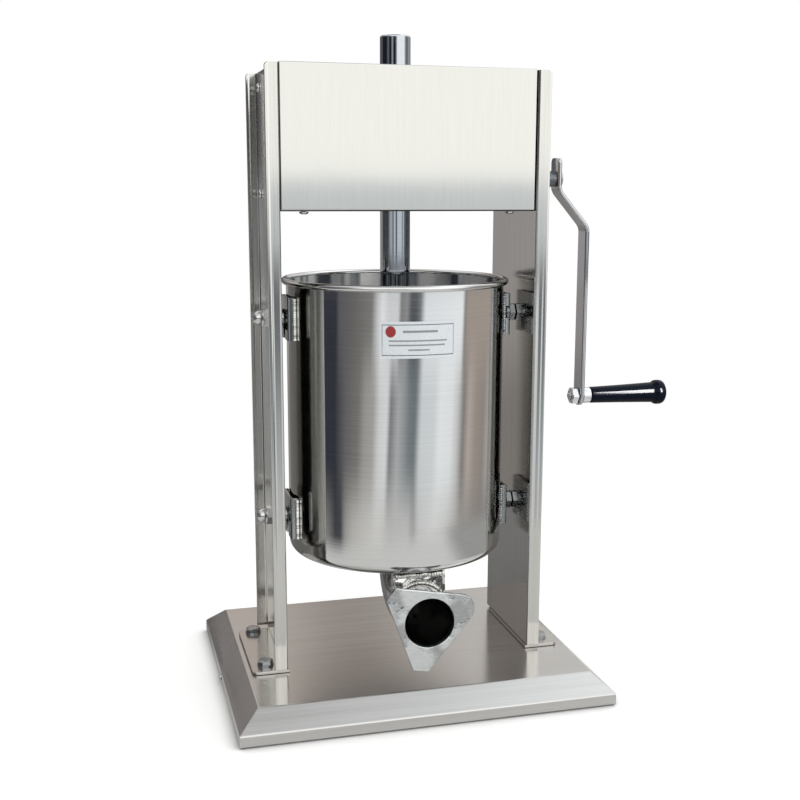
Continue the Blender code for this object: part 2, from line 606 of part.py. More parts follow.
def crank_pieces():
    origin = (ARM_HUB_X, CRANK_Y, CRANK_Z)
    top, bottom = CRANK_Z + 21.0, GRIP_Z - ARM_HALF
    hub_out = ARM_HUB_X + ARM_THICK
    stations = []
    for step in (0.0, 0.25, 0.5, 0.75, 1.0):
        turn = math.pi / 2 * step
        width = 1.0 - HUB_CORNER / ARM_HALF * (1 - math.sin(turn))
        stations.append((top - HUB_CORNER * (1 - math.cos(turn)), ARM_HUB_X, hub_out, width))
    stations += [
        (CRANK_Z - 10.0, ARM_HUB_X, hub_out, 1.0),
        (CRANK_Z - 13.5, ARM_HUB_X + 1.6, hub_out + 2.6, 1.0),
        (CRANK_Z - 46.0, ARM_X - 3.4, ARM_X + ARM_THICK - 1.2, 1.0),
        (CRANK_Z - 51.0, ARM_X, ARM_X + ARM_THICK, 1.0),
    ]
    for step in (1.0, 0.75, 0.5, 0.25):
        turn = math.pi / 2 * step
        stations.append((bottom + ARM_HALF * (1 - math.cos(turn)), ARM_X, ARM_X + ARM_THICK, math.sin(turn)))
    rings = []
    for z, inner, outer, width in stations:
        near, far = CRANK_Y - ARM_HALF * width, CRANK_Y + ARM_HALF * width
        rings.append([(inner, near, z), (outer, near, z), (outer, far, z), (inner, far, z)])
    arm = solid("crank_arm", loft(rings), "chrome", origin)
    square = TENON_HALF + GAP
    cut(
        arm,
        box(
            (ARM_HUB_X - 5, CRANK_Y - square, CRANK_Z - square),
            (ARM_HUB_X + 10, CRANK_Y + square, CRANK_Z + square),
        ),
        rod(4.3, "x", (CRANK_Y, GRIP_Z), ARM_X - 5, ARM_X + 10, 16),
    )
    smooth(arm)
    start = hub_out + GAP
    profile = [(0.0, ARM_HUB_X - 16.0), (3.6, ARM_HUB_X - 16.0), (3.6, start)]
    profile += [(9.5, start), (9.5, start + 0.9), (8.4, start + 1.7), (3.4, start + 1.7)]
    profile += [(2.5, start + 1.7, "hex"), (2.5, start - 1.2, "hex"), (0.0, start - 1.2)]
    smooth(solid("crank_screw", turned(profile, "x", (CRANK_Y, CRANK_Z), 24), "zinc_steel", origin))
    centre = (CRANK_Y, GRIP_Z)
    origin = (ARM_X, CRANK_Y, GRIP_Z)
    nut_high = ARM_X - GAP
    bolt = [(0.0, nut_high - 10.0), (4.0, nut_high - 10.0), (4.0, GRIP_END + GAP), (5.0, GRIP_END + GAP)]
    bolt += [(4.6, GRIP_END + 1.8), (0.0, GRIP_END + 2.3)]
    smooth(solid("grip_bolt", turned(bolt, "x", centre, 16), "zinc_steel", origin))
    nut = [(4.3, nut_high), (8.0, nut_high, "hex"), (8.0, nut_high - 7.5, "hex"), (4.3, nut_high - 7.5)]
    solid("grip_nut", turned(nut, "x", centre, 24), "chrome", origin)
    start = ARM_X + ARM_THICK + GAP
    ferrule = [(4.3, start), (7.6, start), (8.2, start + 0.8), (8.2, start + 9.0), (4.3, start + 9.0)]
    smooth(solid("grip_ferrule", turned(ferrule, "x", centre, 24), "chrome", origin))
    start += 9.0 + GAP
    handle = [
        (4.3, start),
        (7.8, start),
        (8.6, start + 1.2),
        (9.3, start + 22.0),
        (10.0, start + 46.0),
        (10.8, GRIP_END - 15.0),
        (11.4, GRIP_END - 12.0),
        (12.8, GRIP_END - 10.2),
        (13.2, GRIP_END - 7.5),
        (13.0, GRIP_END - 4.0),
        (11.6, GRIP_END - 1.4),
        (9.0, GRIP_END),
        (4.3, GRIP_END),
    ]
    smooth(solid("grip", turned(handle, "x", centre, 32), "black_plastic", origin), 50.0)


def vessel_floor():
    """The dished bottom: its rounded corner ends in the weld under the wall."""
    inner_r = VESSEL_R - VESSEL_WALL
    inner_corner = VESSEL_CORNER - VESSEL_WALL
    turns = [math.pi / 2 * step / 4 for step in range(5)]
    profile = [(0.0, VESSEL_LOW)]
    for turn in turns:
        out = VESSEL_R - VESSEL_CORNER * (1 - math.sin(turn))
        profile.append((out, VESSEL_LOW + VESSEL_CORNER * (1 - math.cos(turn))))
    for turn in reversed(turns):
        out = inner_r - inner_corner * (1 - math.sin(turn))
        profile.append((out, VESSEL_LOW + VESSEL_WALL + inner_corner * (1 - math.cos(turn))))
    profile.append((0.0, VESSEL_LOW + VESSEL_WALL))
    dish = solid("vessel_floor", turned(profile, "z", (0.0, ROD_Y), VESSEL_SEGMENTS), "polished_steel")
    cut(dish, rod(OUTLET_BORE, "z", (0.0, OUTLET_Y), VESSEL_LOW - 5, VESSEL_LOW + 8, 32))
    smooth(dish)


def vessel_pieces():
    inner_r = VESSEL_R - VESSEL_WALL
    bead_r, bead_z = VESSEL_R + 1.6, VESSEL_TOP - BEAD_R
    weld_z = VESSEL_LOW + VESSEL_CORNER + GAP
    profile = [(inner_r, weld_z), (VESSEL_R, weld_z), (VESSEL_R, bead_z - 2.2)]
    for degrees in range(-60, 211, 45):
        turn = math.radians(degrees)
        profile.append((bead_r + BEAD_R * math.cos(turn), bead_z + BEAD_R * math.sin(turn)))
    profile.append((inner_r, bead_z - 2.6))
    wall = solid("vessel", turned(profile, "z", (0.0, ROD_Y), VESSEL_SEGMENTS), "polished_steel")
    smooth(wall)
    vessel_floor()
    outlet_pieces()
    for side, side_name in ((-1, "l"), (1, "r")):
        outline = [
            (107.4, BRACKET_FRONT),
            (BRACKET_OUT - 1.5, BRACKET_FRONT),
            (BRACKET_OUT, BRACKET_FRONT + 1.5),
            (BRACKET_OUT, BRACKET_BACK - 1.5),
            (BRACKET_OUT - 1.5, BRACKET_BACK),
            (109.5, BRACKET_BACK),
            (109.5, BRACKET_BACK - 2.5),
            (BRACKET_IN, BRACKET_BACK - 2.5),
            (BRACKET_IN, BRACKET_FRONT + 2.5),
            (107.4, BRACKET_FRONT + 2.5),
        ]
        low, high = span(side, BRACKET_IN - 1.0, BRACKET_OUT + 5.0)
        for height, z in (("l", POST_LOW), ("u", POST_HIGH)):
            bracket = solid(
                f"bracket_{height}{side_name}",
                prism(mirrored(outline, side), "z", z - BRACKET_HALF, z + BRACKET_HALF),
            )
            slot = box((low, POST_Y - 5.6, z - 30.0), (high, POST_Y + 5.6, z + 5.6))
            if height == "l":
                cut(bracket, slot)
                continue
            window = box((low, BRACKET_FRONT + 2.5, z - 11.0), (high, POST_Y + 8.0, z + 8.5))
            cut(bracket, slot, window)
            if side > 0:
                cut(bracket, box((109.6, BRACKET_FRONT - 5, z - 4.0), (high, BRACKET_FRONT + 5, z + 8.5)))
    near, far = VESSEL_R + 0.35, VESSEL_R + 0.85
    turns = [math.radians(-92.5 + 19.0 * (i / 8 - 0.5) * 2) for i in range(9)]
    outline = [(far * math.cos(turn), ROD_Y + far * math.sin(turn)) for turn in turns]
    outline += [(near * math.cos(turn), ROD_Y + near * math.sin(turn)) for turn in reversed(turns)]
    solid("label_plate", prism(outline, "z", 347.0, 381.5), "label")


def outlet_pieces():
    bend_y, bend_z = OUTLET_Y - OUTLET_BEND, OUTLET_Z + OUTLET_BEND
    path = [((OUTLET_Y, VESSEL_LOW - GAP), 0.0)]
    for step in range(9):
        turn = math.pi / 2 * step / 8
        path.append(((bend_y + OUTLET_BEND * math.cos(turn), bend_z - OUTLET_BEND * math.sin(turn)), turn))
    path.append(((FLANGE_FRONT + FLANGE_THICK + GAP, OUTLET_Z), math.pi / 2))
    segments = 24
    points, faces = [], []
    for radius in (OUTLET_R, OUTLET_BORE):
        for (y, z), turn in path:
            for i in range(segments):
                angle = 2 * math.pi * i / segments
                across, up = radius * math.cos(angle), radius * math.sin(angle)
                points.append((across, y + up * math.cos(turn), z - up * math.sin(turn)))
    count = len(path)
    for wall in (0, count):
        for ring in range(wall, wall + count - 1):
            here, there = ring * segments, (ring + 1) * segments
            for i in range(segments):
                j = (i + 1) % segments
                faces.append((here + i, here + j, there + j, there + i))
    for outer, inner in ((0, count * segments), ((count - 1) * segments, (2 * count - 1) * segments)):
        for i in range(segments):
            j = (i + 1) % segments
            faces.append((outer + i, outer + j, inner + j, inner + i))
    smooth(solid("outlet_elbow", (points, faces), "brushed_steel"))
    saddle = solid(
        "outlet_saddle", box((-OUTLET_R, -94.0, OUTLET_Z + 12.6), (OUTLET_R, -86.0, VESSEL_LOW - GAP))
    )
    cut(saddle, rod(OUTLET_R + GAP, "y", (0.0, OUTLET_Z), -100.0, -80.0, 48))
    outline = []
    for lobe, cut_out in enumerate(FLANGE_CUTS):
        turn = math.radians(FLANGE_TURN + 120.0 * lobe)
        half = (2 * FLANGE_IN - cut_out) * math.tan(math.radians(30.0))
        for out, across in (
            (cut_out - 1.4, -half - 0.8),
            (cut_out, -half + 1.8),
            (cut_out, half - 1.8),
            (cut_out - 1.4, half + 0.8),
        ):
            x = out * math.cos(turn) - across * math.sin(turn)
            z = out * math.sin(turn) + across * math.cos(turn)
            outline.append((x, OUTLET_Z + z))
    flange = solid("outlet_flange", prism(outline, "y", FLANGE_FRONT, FLANGE_FRONT + FLANGE_THICK))
    cut(flange, rod(OUTLET_BORE, "y", (0.0, OUTLET_Z), FLANGE_FRONT - 5, FLANGE_FRONT + 10, 48))


for old in list(bpy.data.objects):
    bpy.data.objects.remove(old)
machine = bpy.data.objects.new("machine", None)
machine.location = (MACHINE_X * MM, 0.0, 0.0)
bpy.context.collection.objects.link(machine)

base_pieces()
upright_pieces()
gearbox_pieces()
rod_pieces()
gear_pieces()
crank_pieces()
vessel_pieces()
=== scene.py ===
"""Looks of the vertical sausage stuffer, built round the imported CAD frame: studio, materials and pieces.

Lengths are metres in the frame's axes: +X towards the crank, -Y towards the outlet, +Z up. Places come from
the CAD nodes' boxes. mm() turns a size in millimetres into metres.
"""

import json
import math
import random

import bmesh
import bpy
from mathutils import Matrix, Vector, noise


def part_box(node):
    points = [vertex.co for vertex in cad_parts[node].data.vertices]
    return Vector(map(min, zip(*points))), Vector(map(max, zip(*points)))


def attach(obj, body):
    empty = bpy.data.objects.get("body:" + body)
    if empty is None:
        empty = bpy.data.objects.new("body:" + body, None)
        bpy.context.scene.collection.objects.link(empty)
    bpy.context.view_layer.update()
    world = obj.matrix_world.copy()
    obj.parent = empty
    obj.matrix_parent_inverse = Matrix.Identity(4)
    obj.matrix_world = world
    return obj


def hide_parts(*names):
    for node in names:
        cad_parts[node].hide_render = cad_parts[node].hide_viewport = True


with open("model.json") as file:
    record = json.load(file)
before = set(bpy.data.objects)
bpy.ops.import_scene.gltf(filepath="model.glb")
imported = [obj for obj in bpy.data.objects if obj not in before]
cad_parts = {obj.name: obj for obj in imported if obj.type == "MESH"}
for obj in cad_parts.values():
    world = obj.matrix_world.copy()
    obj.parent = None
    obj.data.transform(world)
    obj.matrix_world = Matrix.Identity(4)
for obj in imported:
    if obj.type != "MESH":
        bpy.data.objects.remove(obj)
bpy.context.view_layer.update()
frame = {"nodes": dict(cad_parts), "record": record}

# Camera: where it stands, where it looks in degrees, its lens and sensor in millimetres, and the shift of its
# lens as a share of the frame
CAMERA_PLACE = (-0.3571, -1.1749, 0.5078)
CAMERA_YAW, CAMERA_PITCH, CAMERA_ROLL = 15.445, 10.885, 0.265
LENS, SENSOR = 53.9325, 36.0
LENS_SHIFT = (-0.0235, 0.017)

# Studio
FLOOR_RADIUS = 1.1
FLOOR_FADE = (0.60, 0.72)
FLOOR_COLOUR = (0.85, 0.84, 0.82)
# FLOOR_BEHIND is the painted shade of the floor behind and beside the machine, as the steel sees it;
# FLOOR_GLOW is a glow only the camera sees; FLOOR_SHADOW is how far, in metres, the painted contact shadow in
# that glow reaches
FLOOR_BEHIND = (0.26, 0.255, 0.25)
FLOOR_GLOW = 0.42
FLOOR_SHADOW = 0.06
BACKGROUND = (1.0, 1.0, 1.0)
GRIP_LIGHT, GRIP_LIGHT_PLACE = 16.0, (0.45, -0.50, 0.50)


def mm(length):
    return length / 1000.0


def tree_of(block):
    block.use_nodes = True
    block.node_tree.nodes.clear()
    return block.node_tree


def add(tree, kind, **settings):
    """A node of this kind, with its settings and unlinked inputs given by name."""
    node = tree.nodes.new("ShaderNode" + kind)
    for name, value in settings.items():
        if name in ("inputs", "links"):
            continue
        setattr(node, name, value)
    for socket, value in settings.get("inputs", {}).items():
        node.inputs[socket].default_value = value
    for socket, source in settings.get("links", {}).items():
        tree.links.new(source, node.inputs[socket])
    return node


def maths(tree, operation, *values, clamp=False):
    """A Math node; each value is a number or another node's output."""
    node = add(tree, "Math", operation=operation, use_clamp=clamp)
    for socket, value in zip(node.inputs, values):
        if isinstance(value, (int, float)):
            socket.default_value = value
        else:
            tree.links.new(value, socket)
    return node.outputs[0]


def smooth_step(tree, value, low, high, out_low=0.0, out_high=1.0):
    node = add(tree, "MapRange", interpolation_type="SMOOTHSTEP")
    tree.links.new(value, node.inputs["Value"])
    for socket, number in (("From Min", low), ("From Max", high), ("To Min", out_low), ("To Max", out_high)):
        node.inputs[socket].default_value = number
    return node.outputs[0]


def ramp(tree, value, stops, interpolation="LINEAR"):
    """A colour ramp from (position, colour) stops."""
    node = add(tree, "ValToRGB")
    tree.links.new(value, node.inputs[0])
    node.color_ramp.interpolation = interpolation
    elements = node.color_ramp.elements
    while len(elements) > 1:
        elements.remove(elements[-1])
    elements[0].position = stops[0][0]
    elements[0].color = (*stops[0][1], 1.0)
    for position, colour in stops[1:]:
        elements.new(position).color = (*colour, 1.0)
    return node.outputs[0]


def mixed(tree, factor, first, second):
    node = add(tree, "Mix", data_type="RGBA")
    for socket, value in (("Factor", factor), ("A", first), ("B", second)):
        target = [s for s in node.inputs if s.name == socket and s.enabled][0]
        if isinstance(value, (int, float, tuple)):
            target.default_value = value
        else:
            tree.links.new(value, target)
    return [s for s in node.outputs if s.enabled][0]


# ---------------------------------------------------------------- studio


def make_camera():
    yaw, pitch, roll = (math.radians(angle) for angle in (CAMERA_YAW, CAMERA_PITCH, CAMERA_ROLL))
    level = Vector((math.cos(yaw), -math.sin(yaw), 0.0))
    ahead = Vector((math.sin(yaw) * math.cos(pitch), math.cos(yaw) * math.cos(pitch), -math.sin(pitch)))
    upright = level.cross(ahead)
    right = math.cos(roll) * level + math.sin(roll) * upright
    up = math.cos(roll) * upright - math.sin(roll) * level
    data = bpy.data.cameras.new("camera")
    data.sensor_width = SENSOR
    data.lens = LENS
    data.shift_x, data.shift_y = LENS_SHIFT
    data.dof.use_dof = False
    camera = bpy.data.objects.new("camera", data)
    turn = Matrix((right, up, -ahead)).transposed().to_4x4()
    camera.matrix_world = Matrix.Translation(CAMERA_PLACE) @ turn
    bpy.context.scene.collection.objects.link(camera)
    bpy.context.scene.camera = camera


# What stands round the studio: each stop is the degrees from -Y towards +X, then red, green and blue.
# ROOM, ROOM_MIDDLE and ROOM_LOW lie below eye level, from the top down: windows are bright, and the wall
# between them is dark. RAIL is a dark line above them, HAZE the strip up to the horizon, LOW_SKY the strip
# over the horizon, SKY what is above that and OVERHEAD what is higher still.
NIGHT = (0.016, 0.018, 0.026)
DARK, SLATE, WALL = (0.042, 0.045, 0.06), (0.135, 0.135, 0.145), (0.19, 0.18, 0.175)
WINDOW, WARM = (1.08, 1.12, 1.15), (0.46, 0.40, 0.355)
UNDERFOOT = (0.62, 0.61, 0.60)
ZENITH, ZENITH_RISE = (0.40, 0.41, 0.40), (61.5, 79.0)
# The bright and dark columns below eye level lean over, by this share of a turn per unit of height
SLANT, SLANT_START, SLANT_SIDES = 0.13, 0.087, (0.24, 0.36)
ROOM = (
    (-180, 0.38, 0.35, 0.33), (-154, 0.38, 0.36, 0.345), (-140, 0.30, 0.285, 0.27),
    (-106, 0.25, 0.25, 0.245), (-102, 0.60, 0.60, 0.58), (-99, 0.50, 0.50, 0.48), (-96, *DARK),
    (-77, *DARK), (-73, *SLATE), (-54, *WALL), (-37, 0.26, 0.25, 0.24), (-31, 0.75, 0.76, 0.78),
    (-26, 1.04, 1.06, 1.10), (-20, 0.84, 0.86, 0.89), (-10, 0.86, 0.88, 0.90), (-7, 0.27, 0.27, 0.27),
    (-1, 0.36, 0.37, 0.38), (3, 0.11, 0.12, 0.13), (8, 0.10, 0.11, 0.13), (13, 0.24, 0.25, 0.27),
    (18, 0.98, 1.02, 1.06), (61, *WINDOW), (64, 0.30, 0.29, 0.28), (68, *WARM), (104, *WARM),
    (112, 0.46, 0.45, 0.44), (120, 0.14, 0.14, 0.15), (150, 0.22, 0.22, 0.23), (180, 0.38, 0.35, 0.33),
)
ROOM_MIDDLE = (
    (-180, 0.30, 0.28, 0.265), (-150, 0.25, 0.235, 0.225), (-106, 0.22, 0.22, 0.215),
    (-102, 0.60, 0.60, 0.58), (-99, 0.50, 0.50, 0.48), (-96, *DARK), (-79, *DARK), (-64, 0.16, 0.16, 0.165),
    (-48, 0.24, 0.23, 0.22), (-41, 0.42, 0.41, 0.39), (-32, 0.48, 0.47, 0.45), (-26, 0.80, 0.82, 0.84),
    (-18, 0.90, 0.92, 0.94), (-14, 0.24, 0.25, 0.26), (-6, 0.52, 0.54, 0.55), (6, 0.23, 0.265, 0.28),
    (12, 0.20, 0.235, 0.25), (18, 0.80, 0.84, 0.87), (32, 0.82, 0.86, 0.88), (39, 1.02, 1.06, 1.08),
    (52, 0.98, 1.02, 1.04), (60, 0.72, 0.72, 0.72), (67, 0.28, 0.26, 0.25), (75, 0.58, 0.51, 0.47),
    (85, 0.42, 0.37, 0.33), (98, 0.36, 0.32, 0.29), (106, 0.48, 0.46, 0.45), (119, 0.18, 0.18, 0.19),
    (150, 0.22, 0.22, 0.23), (180, 0.30, 0.28, 0.265),
)
ROOM_LOW = (
    (-180, 0.30, 0.275, 0.26), (-135, 0.24, 0.225, 0.215), (-106, 0.22, 0.22, 0.21),
    (-99, 0.40, 0.40, 0.385), (-88, 0.22, 0.22, 0.21), (-79, 0.07, 0.07, 0.085), (-70, 0.07, 0.07, 0.085),
    (-63, 0.42, 0.41, 0.39), (-52, 0.62, 0.61, 0.58), (-24, 0.80, 0.79, 0.77), (-10, 0.66, 0.66, 0.65),
    (8, 0.72, 0.72, 0.72), (14, 0.50, 0.49, 0.47), (20, 0.74, 0.74, 0.74), (35, 0.86, 0.87, 0.87),
    (48, 0.78, 0.78, 0.77), (60, 0.58, 0.57, 0.55), (72, 0.40, 0.38, 0.36), (88, 0.34, 0.32, 0.31),
    (109, 0.27, 0.26, 0.26), (122, 0.12, 0.12, 0.13), (150, 0.22, 0.22, 0.22), (180, 0.30, 0.275, 0.26),
)
RAIL = (
    (-180, 0.13, 0.12, 0.12), (-169, 0.13, 0.12, 0.12), (-161, 0.42, 0.40, 0.40), (-140, 0.36, 0.34, 0.34),
    (-60, *SLATE), (-30, 0.30, 0.31, 0.33), (50, 0.34, 0.35, 0.37), (180, 0.13, 0.12, 0.12),
)
HAZE = (
    (-180, 0.13, 0.12, 0.12), (-169, 0.13, 0.12, 0.12), (-161, 0.42, 0.40, 0.40), (-140, 0.38, 0.36, 0.36),
    (-113, 0.14, 0.15, 0.16), (-89, 0.34, 0.35, 0.36), (-66, 0.14, 0.15, 0.16), (-44, 0.62, 0.64, 0.66),
    (-28, 0.18, 0.20, 0.22), (-16, 0.90, 0.94, 0.96), (-9, 0.32, 0.34, 0.36), (-2, *NIGHT),
    (4, 0.76, 0.81, 0.84), (35, 0.78, 0.82, 0.85), (44, 0.26, 0.28, 0.30), (53, 0.76, 0.80, 0.83),
    (66, 0.06, 0.065, 0.075), (104, 0.04, 0.04, 0.05), (130, 0.12, 0.12, 0.125), (180, 0.13, 0.12, 0.12),
)
LOW_SKY = (
    (-180, 0.15, 0.15, 0.155), (-125, 0.12, 0.12, 0.13), (-118, *NIGHT), (-82, *NIGHT),
    (-68, 0.20, 0.20, 0.21), (-56, *NIGHT), (-45, *NIGHT), (-35, 0.50, 0.51, 0.53), (-25, *NIGHT),
    (-14, *NIGHT), (-6, 0.30, 0.30, 0.31), (3, 1.33, 1.335, 1.30), (56, 1.33, 1.335, 1.30),
    (70, 0.30, 0.30, 0.31), (86, 0.18, 0.18, 0.19), (112, 0.50, 0.50, 0.50), (140, 0.20, 0.20, 0.21),
    (180, 0.15, 0.15, 0.155),
)
SKY = (
    (-180, 0.40, 0.365, 0.34), (-173, 0.18, 0.165, 0.16), (-163, 0.18, 0.165, 0.16),
    (-157, 0.40, 0.365, 0.345), (-137, 0.32, 0.30, 0.29), (-110, 0.20, 0.20, 0.21), (-65, 0.25, 0.25, 0.27),
    (-45, 1.40, 1.40, 1.38), (48, 1.60, 1.60, 1.57), (75, 0.55, 0.55, 0.56), (100, 0.85, 0.85, 0.85),
    (144, 0.80, 0.82, 0.83), (160, 0.74, 0.72, 0.69), (164, 0.66, 0.62, 0.58), (166.5, 0.34, 0.30, 0.27),
    (168.5, 0.36, 0.32, 0.29), (172, 0.64, 0.575, 0.525), (176, 0.60, 0.545, 0.50),
    (180, 0.40, 0.365, 0.34),
)
OVERHEAD = (
    (-180, 0.95, 0.97, 0.98), (-90, 0.80, 0.80, 0.80), (-20, 0.98, 1.01, 1.03), (60, 1.25, 1.31, 1.35),
    (80, 1.50, 1.57, 1.60), (125, 1.50, 1.57, 1.60), (160, 1.00, 1.03, 1.05), (180, 0.95, 0.97, 0.98),
)
# From one height in degrees to another, each layer takes over from the one below it
LAYERS = (
    (-29.0, -22.0, ROOM_LOW),
    (-17.0, -13.0, ROOM_MIDDLE),
    (-10.5, -6.5, ROOM),
    (-4.9, -4.3, RAIL),
    (-3.9, -3.0, HAZE),
    (-0.5, 0.45, LOW_SKY),
    (6.5, 11.0, SKY),
    (28.0, 48.0, OVERHEAD),
)


def make_world():
    """Soft studio light in layers by height, each with its colours round the compass, and white behind it."""
    world = bpy.data.worlds.new("studio")
    bpy.context.scene.world = world
    tree = tree_of(world)
    place = add(tree, "TexCoord").outputs["Generated"]
    x, y, z = add(tree, "SeparateXYZ", links={"Vector": place}).outputs
    azimuth = maths(tree, "ARCTAN2", x, maths(tree, "MULTIPLY", y, -1.0))
    share = maths(tree, "MULTIPLY_ADD", azimuth, 0.5 / math.pi, 0.5)
    depth = maths(tree, "MAXIMUM", maths(tree, "MULTIPLY_ADD", z, -1.0, -SLANT_START), 0.0)
    ahead = smooth_step(tree, share, *SLANT_SIDES)
    share = maths(tree, "MULTIPLY_ADD", maths(tree, "MULTIPLY", depth, ahead), SLANT, share)

    def round_the_compass(stops):
        return ramp(tree, share, [(0.5 + degrees / 360.0, tint) for degrees, *tint in stops])

    def rise(low, high):
        """A step from 0 to 1 between two elevations in degrees."""
        return smooth_step(tree, z, math.sin(math.radians(low)), math.sin(math.radians(high)))

    light = (*UNDERFOOT, 1.0)
    for low, high, stops in LAYERS:
        light = mixed(tree, rise(low, high), light, round_the_compass(stops))
    light = mixed(tree, rise(*ZENITH_RISE), light, (*ZENITH, 1.0))
    seen = add(tree, "LightPath").outputs["Is Camera Ray"]
    shown = mixed(tree, seen, light, (*BACKGROUND, 1.0))
    surface = add(tree, "Background", links={"Color": shown})
    out = add(tree, "OutputWorld")
    tree.links.new(surface.outputs[0], out.inputs["Surface"])


def make_grip_light():
    """A tall strip light to the right of the camera, which only the grip's handle catches."""
    data = bpy.data.lights.new("grip_light", "AREA")
    data.shape = "RECTANGLE"
    data.size, data.size_y = 0.12, 0.34
    data.energy = GRIP_LIGHT
    light = bpy.data.objects.new("grip_light", data)
    target, place = Vector((0.20, 0.0, 0.2855)), Vector(GRIP_LIGHT_PLACE)
    light.location = place
    light.rotation_euler = (target - place).to_track_quat("-Z", "Y").to_euler()
    light.visible_camera = False
    lit = bpy.data.collections.new("lit_by_grip_light")
    light.light_linking.receiver_collection = lit
    bpy.context.scene.collection.objects.link(light)
    return lit


def make_floor():
    """A pale floor that fades out into the white round it, a little whiter to look at than in the steel, with
    painted shade and a painted contact shadow.
    """
    mesh = bpy.data.meshes.new("floor")
    shape = bmesh.new()
    bmesh.ops.create_circle(shape, cap_ends=True, segments=96, radius=FLOOR_RADIUS)
    shape.to_mesh(mesh)
    shape.free()
    floor = bpy.data.objects.new("floor", mesh)
    bpy.context.scene.collection.objects.link(floor)
    paint = bpy.data.materials.new("floor")
    tree = tree_of(paint)
    place = add(tree, "TexCoord").outputs["Object"]
    reach = add(tree, "VectorMath", operation="LENGTH", links={0: place}).outputs["Value"]
    pale = add(tree, "BsdfPrincipled", inputs={"Roughness": 0.9, "Emission Color": (1.0, 1.0, 1.0, 1.0)})
    seen = add(tree, "LightPath").outputs["Is Camera Ray"]
    across, back = add(tree, "SeparateXYZ", links={"Vector": place}).outputs[:2]
    # Behind the machine and to its sides the floor is darker to all but the camera: painted shade in the
    # steel's reflections and in bounced light
    behind = smooth_step(tree, back, 0.02, 0.22)
    painted_shade = maths(tree, "MAXIMUM", behind, smooth_step(tree, across, 0.27, 0.45, 0.0, 0.7))
    floor_in_painted_shade = mixed(tree, painted_shade, (*FLOOR_COLOUR, 1.0), (*FLOOR_BEHIND, 1.0))
    tree.links.new(mixed(tree, seen, floor_in_painted_shade, (*FLOOR_COLOUR, 1.0)), pale.inputs["Base Color"])
    # The glow dims near the machine by ambient occlusion: a painted contact shadow
    near = add(tree, "AmbientOcclusion", samples=12, inputs={"Distance": FLOOR_SHADOW}).outputs["AO"]
    glow_outside_painted_shadow = smooth_step(tree, near, 0.35, 1.0, -0.35, 1.0)
    glow = maths(tree, "MULTIPLY", maths(tree, "MULTIPLY", seen, FLOOR_GLOW), glow_outside_painted_shadow)
    tree.links.new(maths(tree, "MAXIMUM", glow, 0.0), pale.inputs["Emission Strength"])
    clear = add(tree, "BsdfTransparent")
    fade = smooth_step(tree, reach, *FLOOR_FADE)
    both = add(tree, "MixShader", links={0: fade, 1: pale.outputs[0], 2: clear.outputs[0]})
    out = add(tree, "OutputMaterial")
    tree.links.new(both.outputs[0], out.inputs["Surface"])
    mesh.materials.append(paint)


# ---------------------------------------------------------------- materials


def surface_of(name, colour, roughness, metallic, **fixed):
    """A material with one Principled shader; the fixed inputs are set on its own sockets."""
    paint = bpy.data.materials.new(name)
    tree = tree_of(paint)
    shader = add(tree, "BsdfPrincipled")
    shader.inputs["Base Color"].default_value = (*colour, 1.0)
    shader.inputs["Roughness"].default_value = roughness
    shader.inputs["Metallic"].default_value = metallic
    for socket, value in fixed.items():
        shader.inputs[socket].default_value = value
    out = add(tree, "OutputMaterial")
    tree.links.new(shader.outputs[0], out.inputs["Surface"])
    paint.diffuse_color = (*colour, 1.0)
    return paint, tree, shader


def noise_of(tree, scale, detail=3.0, stretch=(1.0, 1.0, 1.0), seed=0.0):
    """Noise in object space, stretched by a scale for each axis."""
    place = add(tree, "TexCoord").outputs["Object"]
    sizes = {"Scale": stretch, "Location": (seed, seed, seed)}
    spread = add(tree, "Mapping", links={"Vector": place}, inputs=sizes).outputs[0]
    texture = add(tree, "TexNoise", links={"Vector": spread}, inputs={"Scale": scale, "Detail": detail})
    return texture.outputs["Fac"]


def varied(tree, shader, socket, noise, low, high):
    """Drives a shader input between two values by noise."""
    spread = add(tree, "MapRange", inputs={"From Min": 0.3, "From Max": 0.7, "To Min": low, "To Max": high})
    tree.links.new(noise, spread.inputs["Value"])
    tree.links.new(spread.outputs[0], shader.inputs[socket])


def tinted(tree, shader, noise, dark, light):
    """Drives the base colour between two tints by noise."""
    factor = add(tree, "MapRange", inputs={"From Min": 0.3, "From Max": 0.7})
    tree.links.new(noise, factor.inputs["Value"])
    tree.links.new(mixed(tree, factor.outputs[0], (*dark, 1.0), (*light, 1.0)), shader.inputs["Base Color"])


def bumped(tree, shader, height, distance, strength=1.0):
    bump = add(tree, "Bump", inputs={"Distance": distance, "Strength": strength})
    tree.links.new(height, bump.inputs["Height"])
    tree.links.new(bump.outputs[0], shader.inputs["Normal"])


def paint_crease_shade(tree, shader, reach=5.0, depth=0.82):
    """Darkens the base colour in narrow gaps and where pieces meet, found by ambient occlusion: painted shade.
    """
    gap = add(tree, "AmbientOcclusion", samples=8, inputs={"Distance": mm(reach)}).outputs["AO"]
    kept = smooth_step(tree, gap, 0.15, 0.62, 1.0 - depth, 1.0)
    source = shader.inputs["Base Color"].links[0].from_socket
    grey = add(tree, "CombineColor", links={"Red": kept, "Green": kept, "Blue": kept}).outputs[0]
    node = add(tree, "Mix", data_type="RGBA", blend_type="MULTIPLY", inputs={0: 1.0})
    first, second = [socket for socket in node.inputs if socket.type == "RGBA" and socket.enabled]
    tree.links.new(source, first)
    tree.links.new(grey, second)
    tree.links.new([out for out in node.outputs if out.enabled][0], shader.inputs["Base Color"])


def tangent(tree, shader, axis):
    node = add(tree, "Tangent", direction_type="RADIAL", axis=axis)
    tree.links.new(node.outputs[0], shader.inputs["Tangent"])


def scaled(colour, factor):
    return tuple(channel * factor for channel in colour)


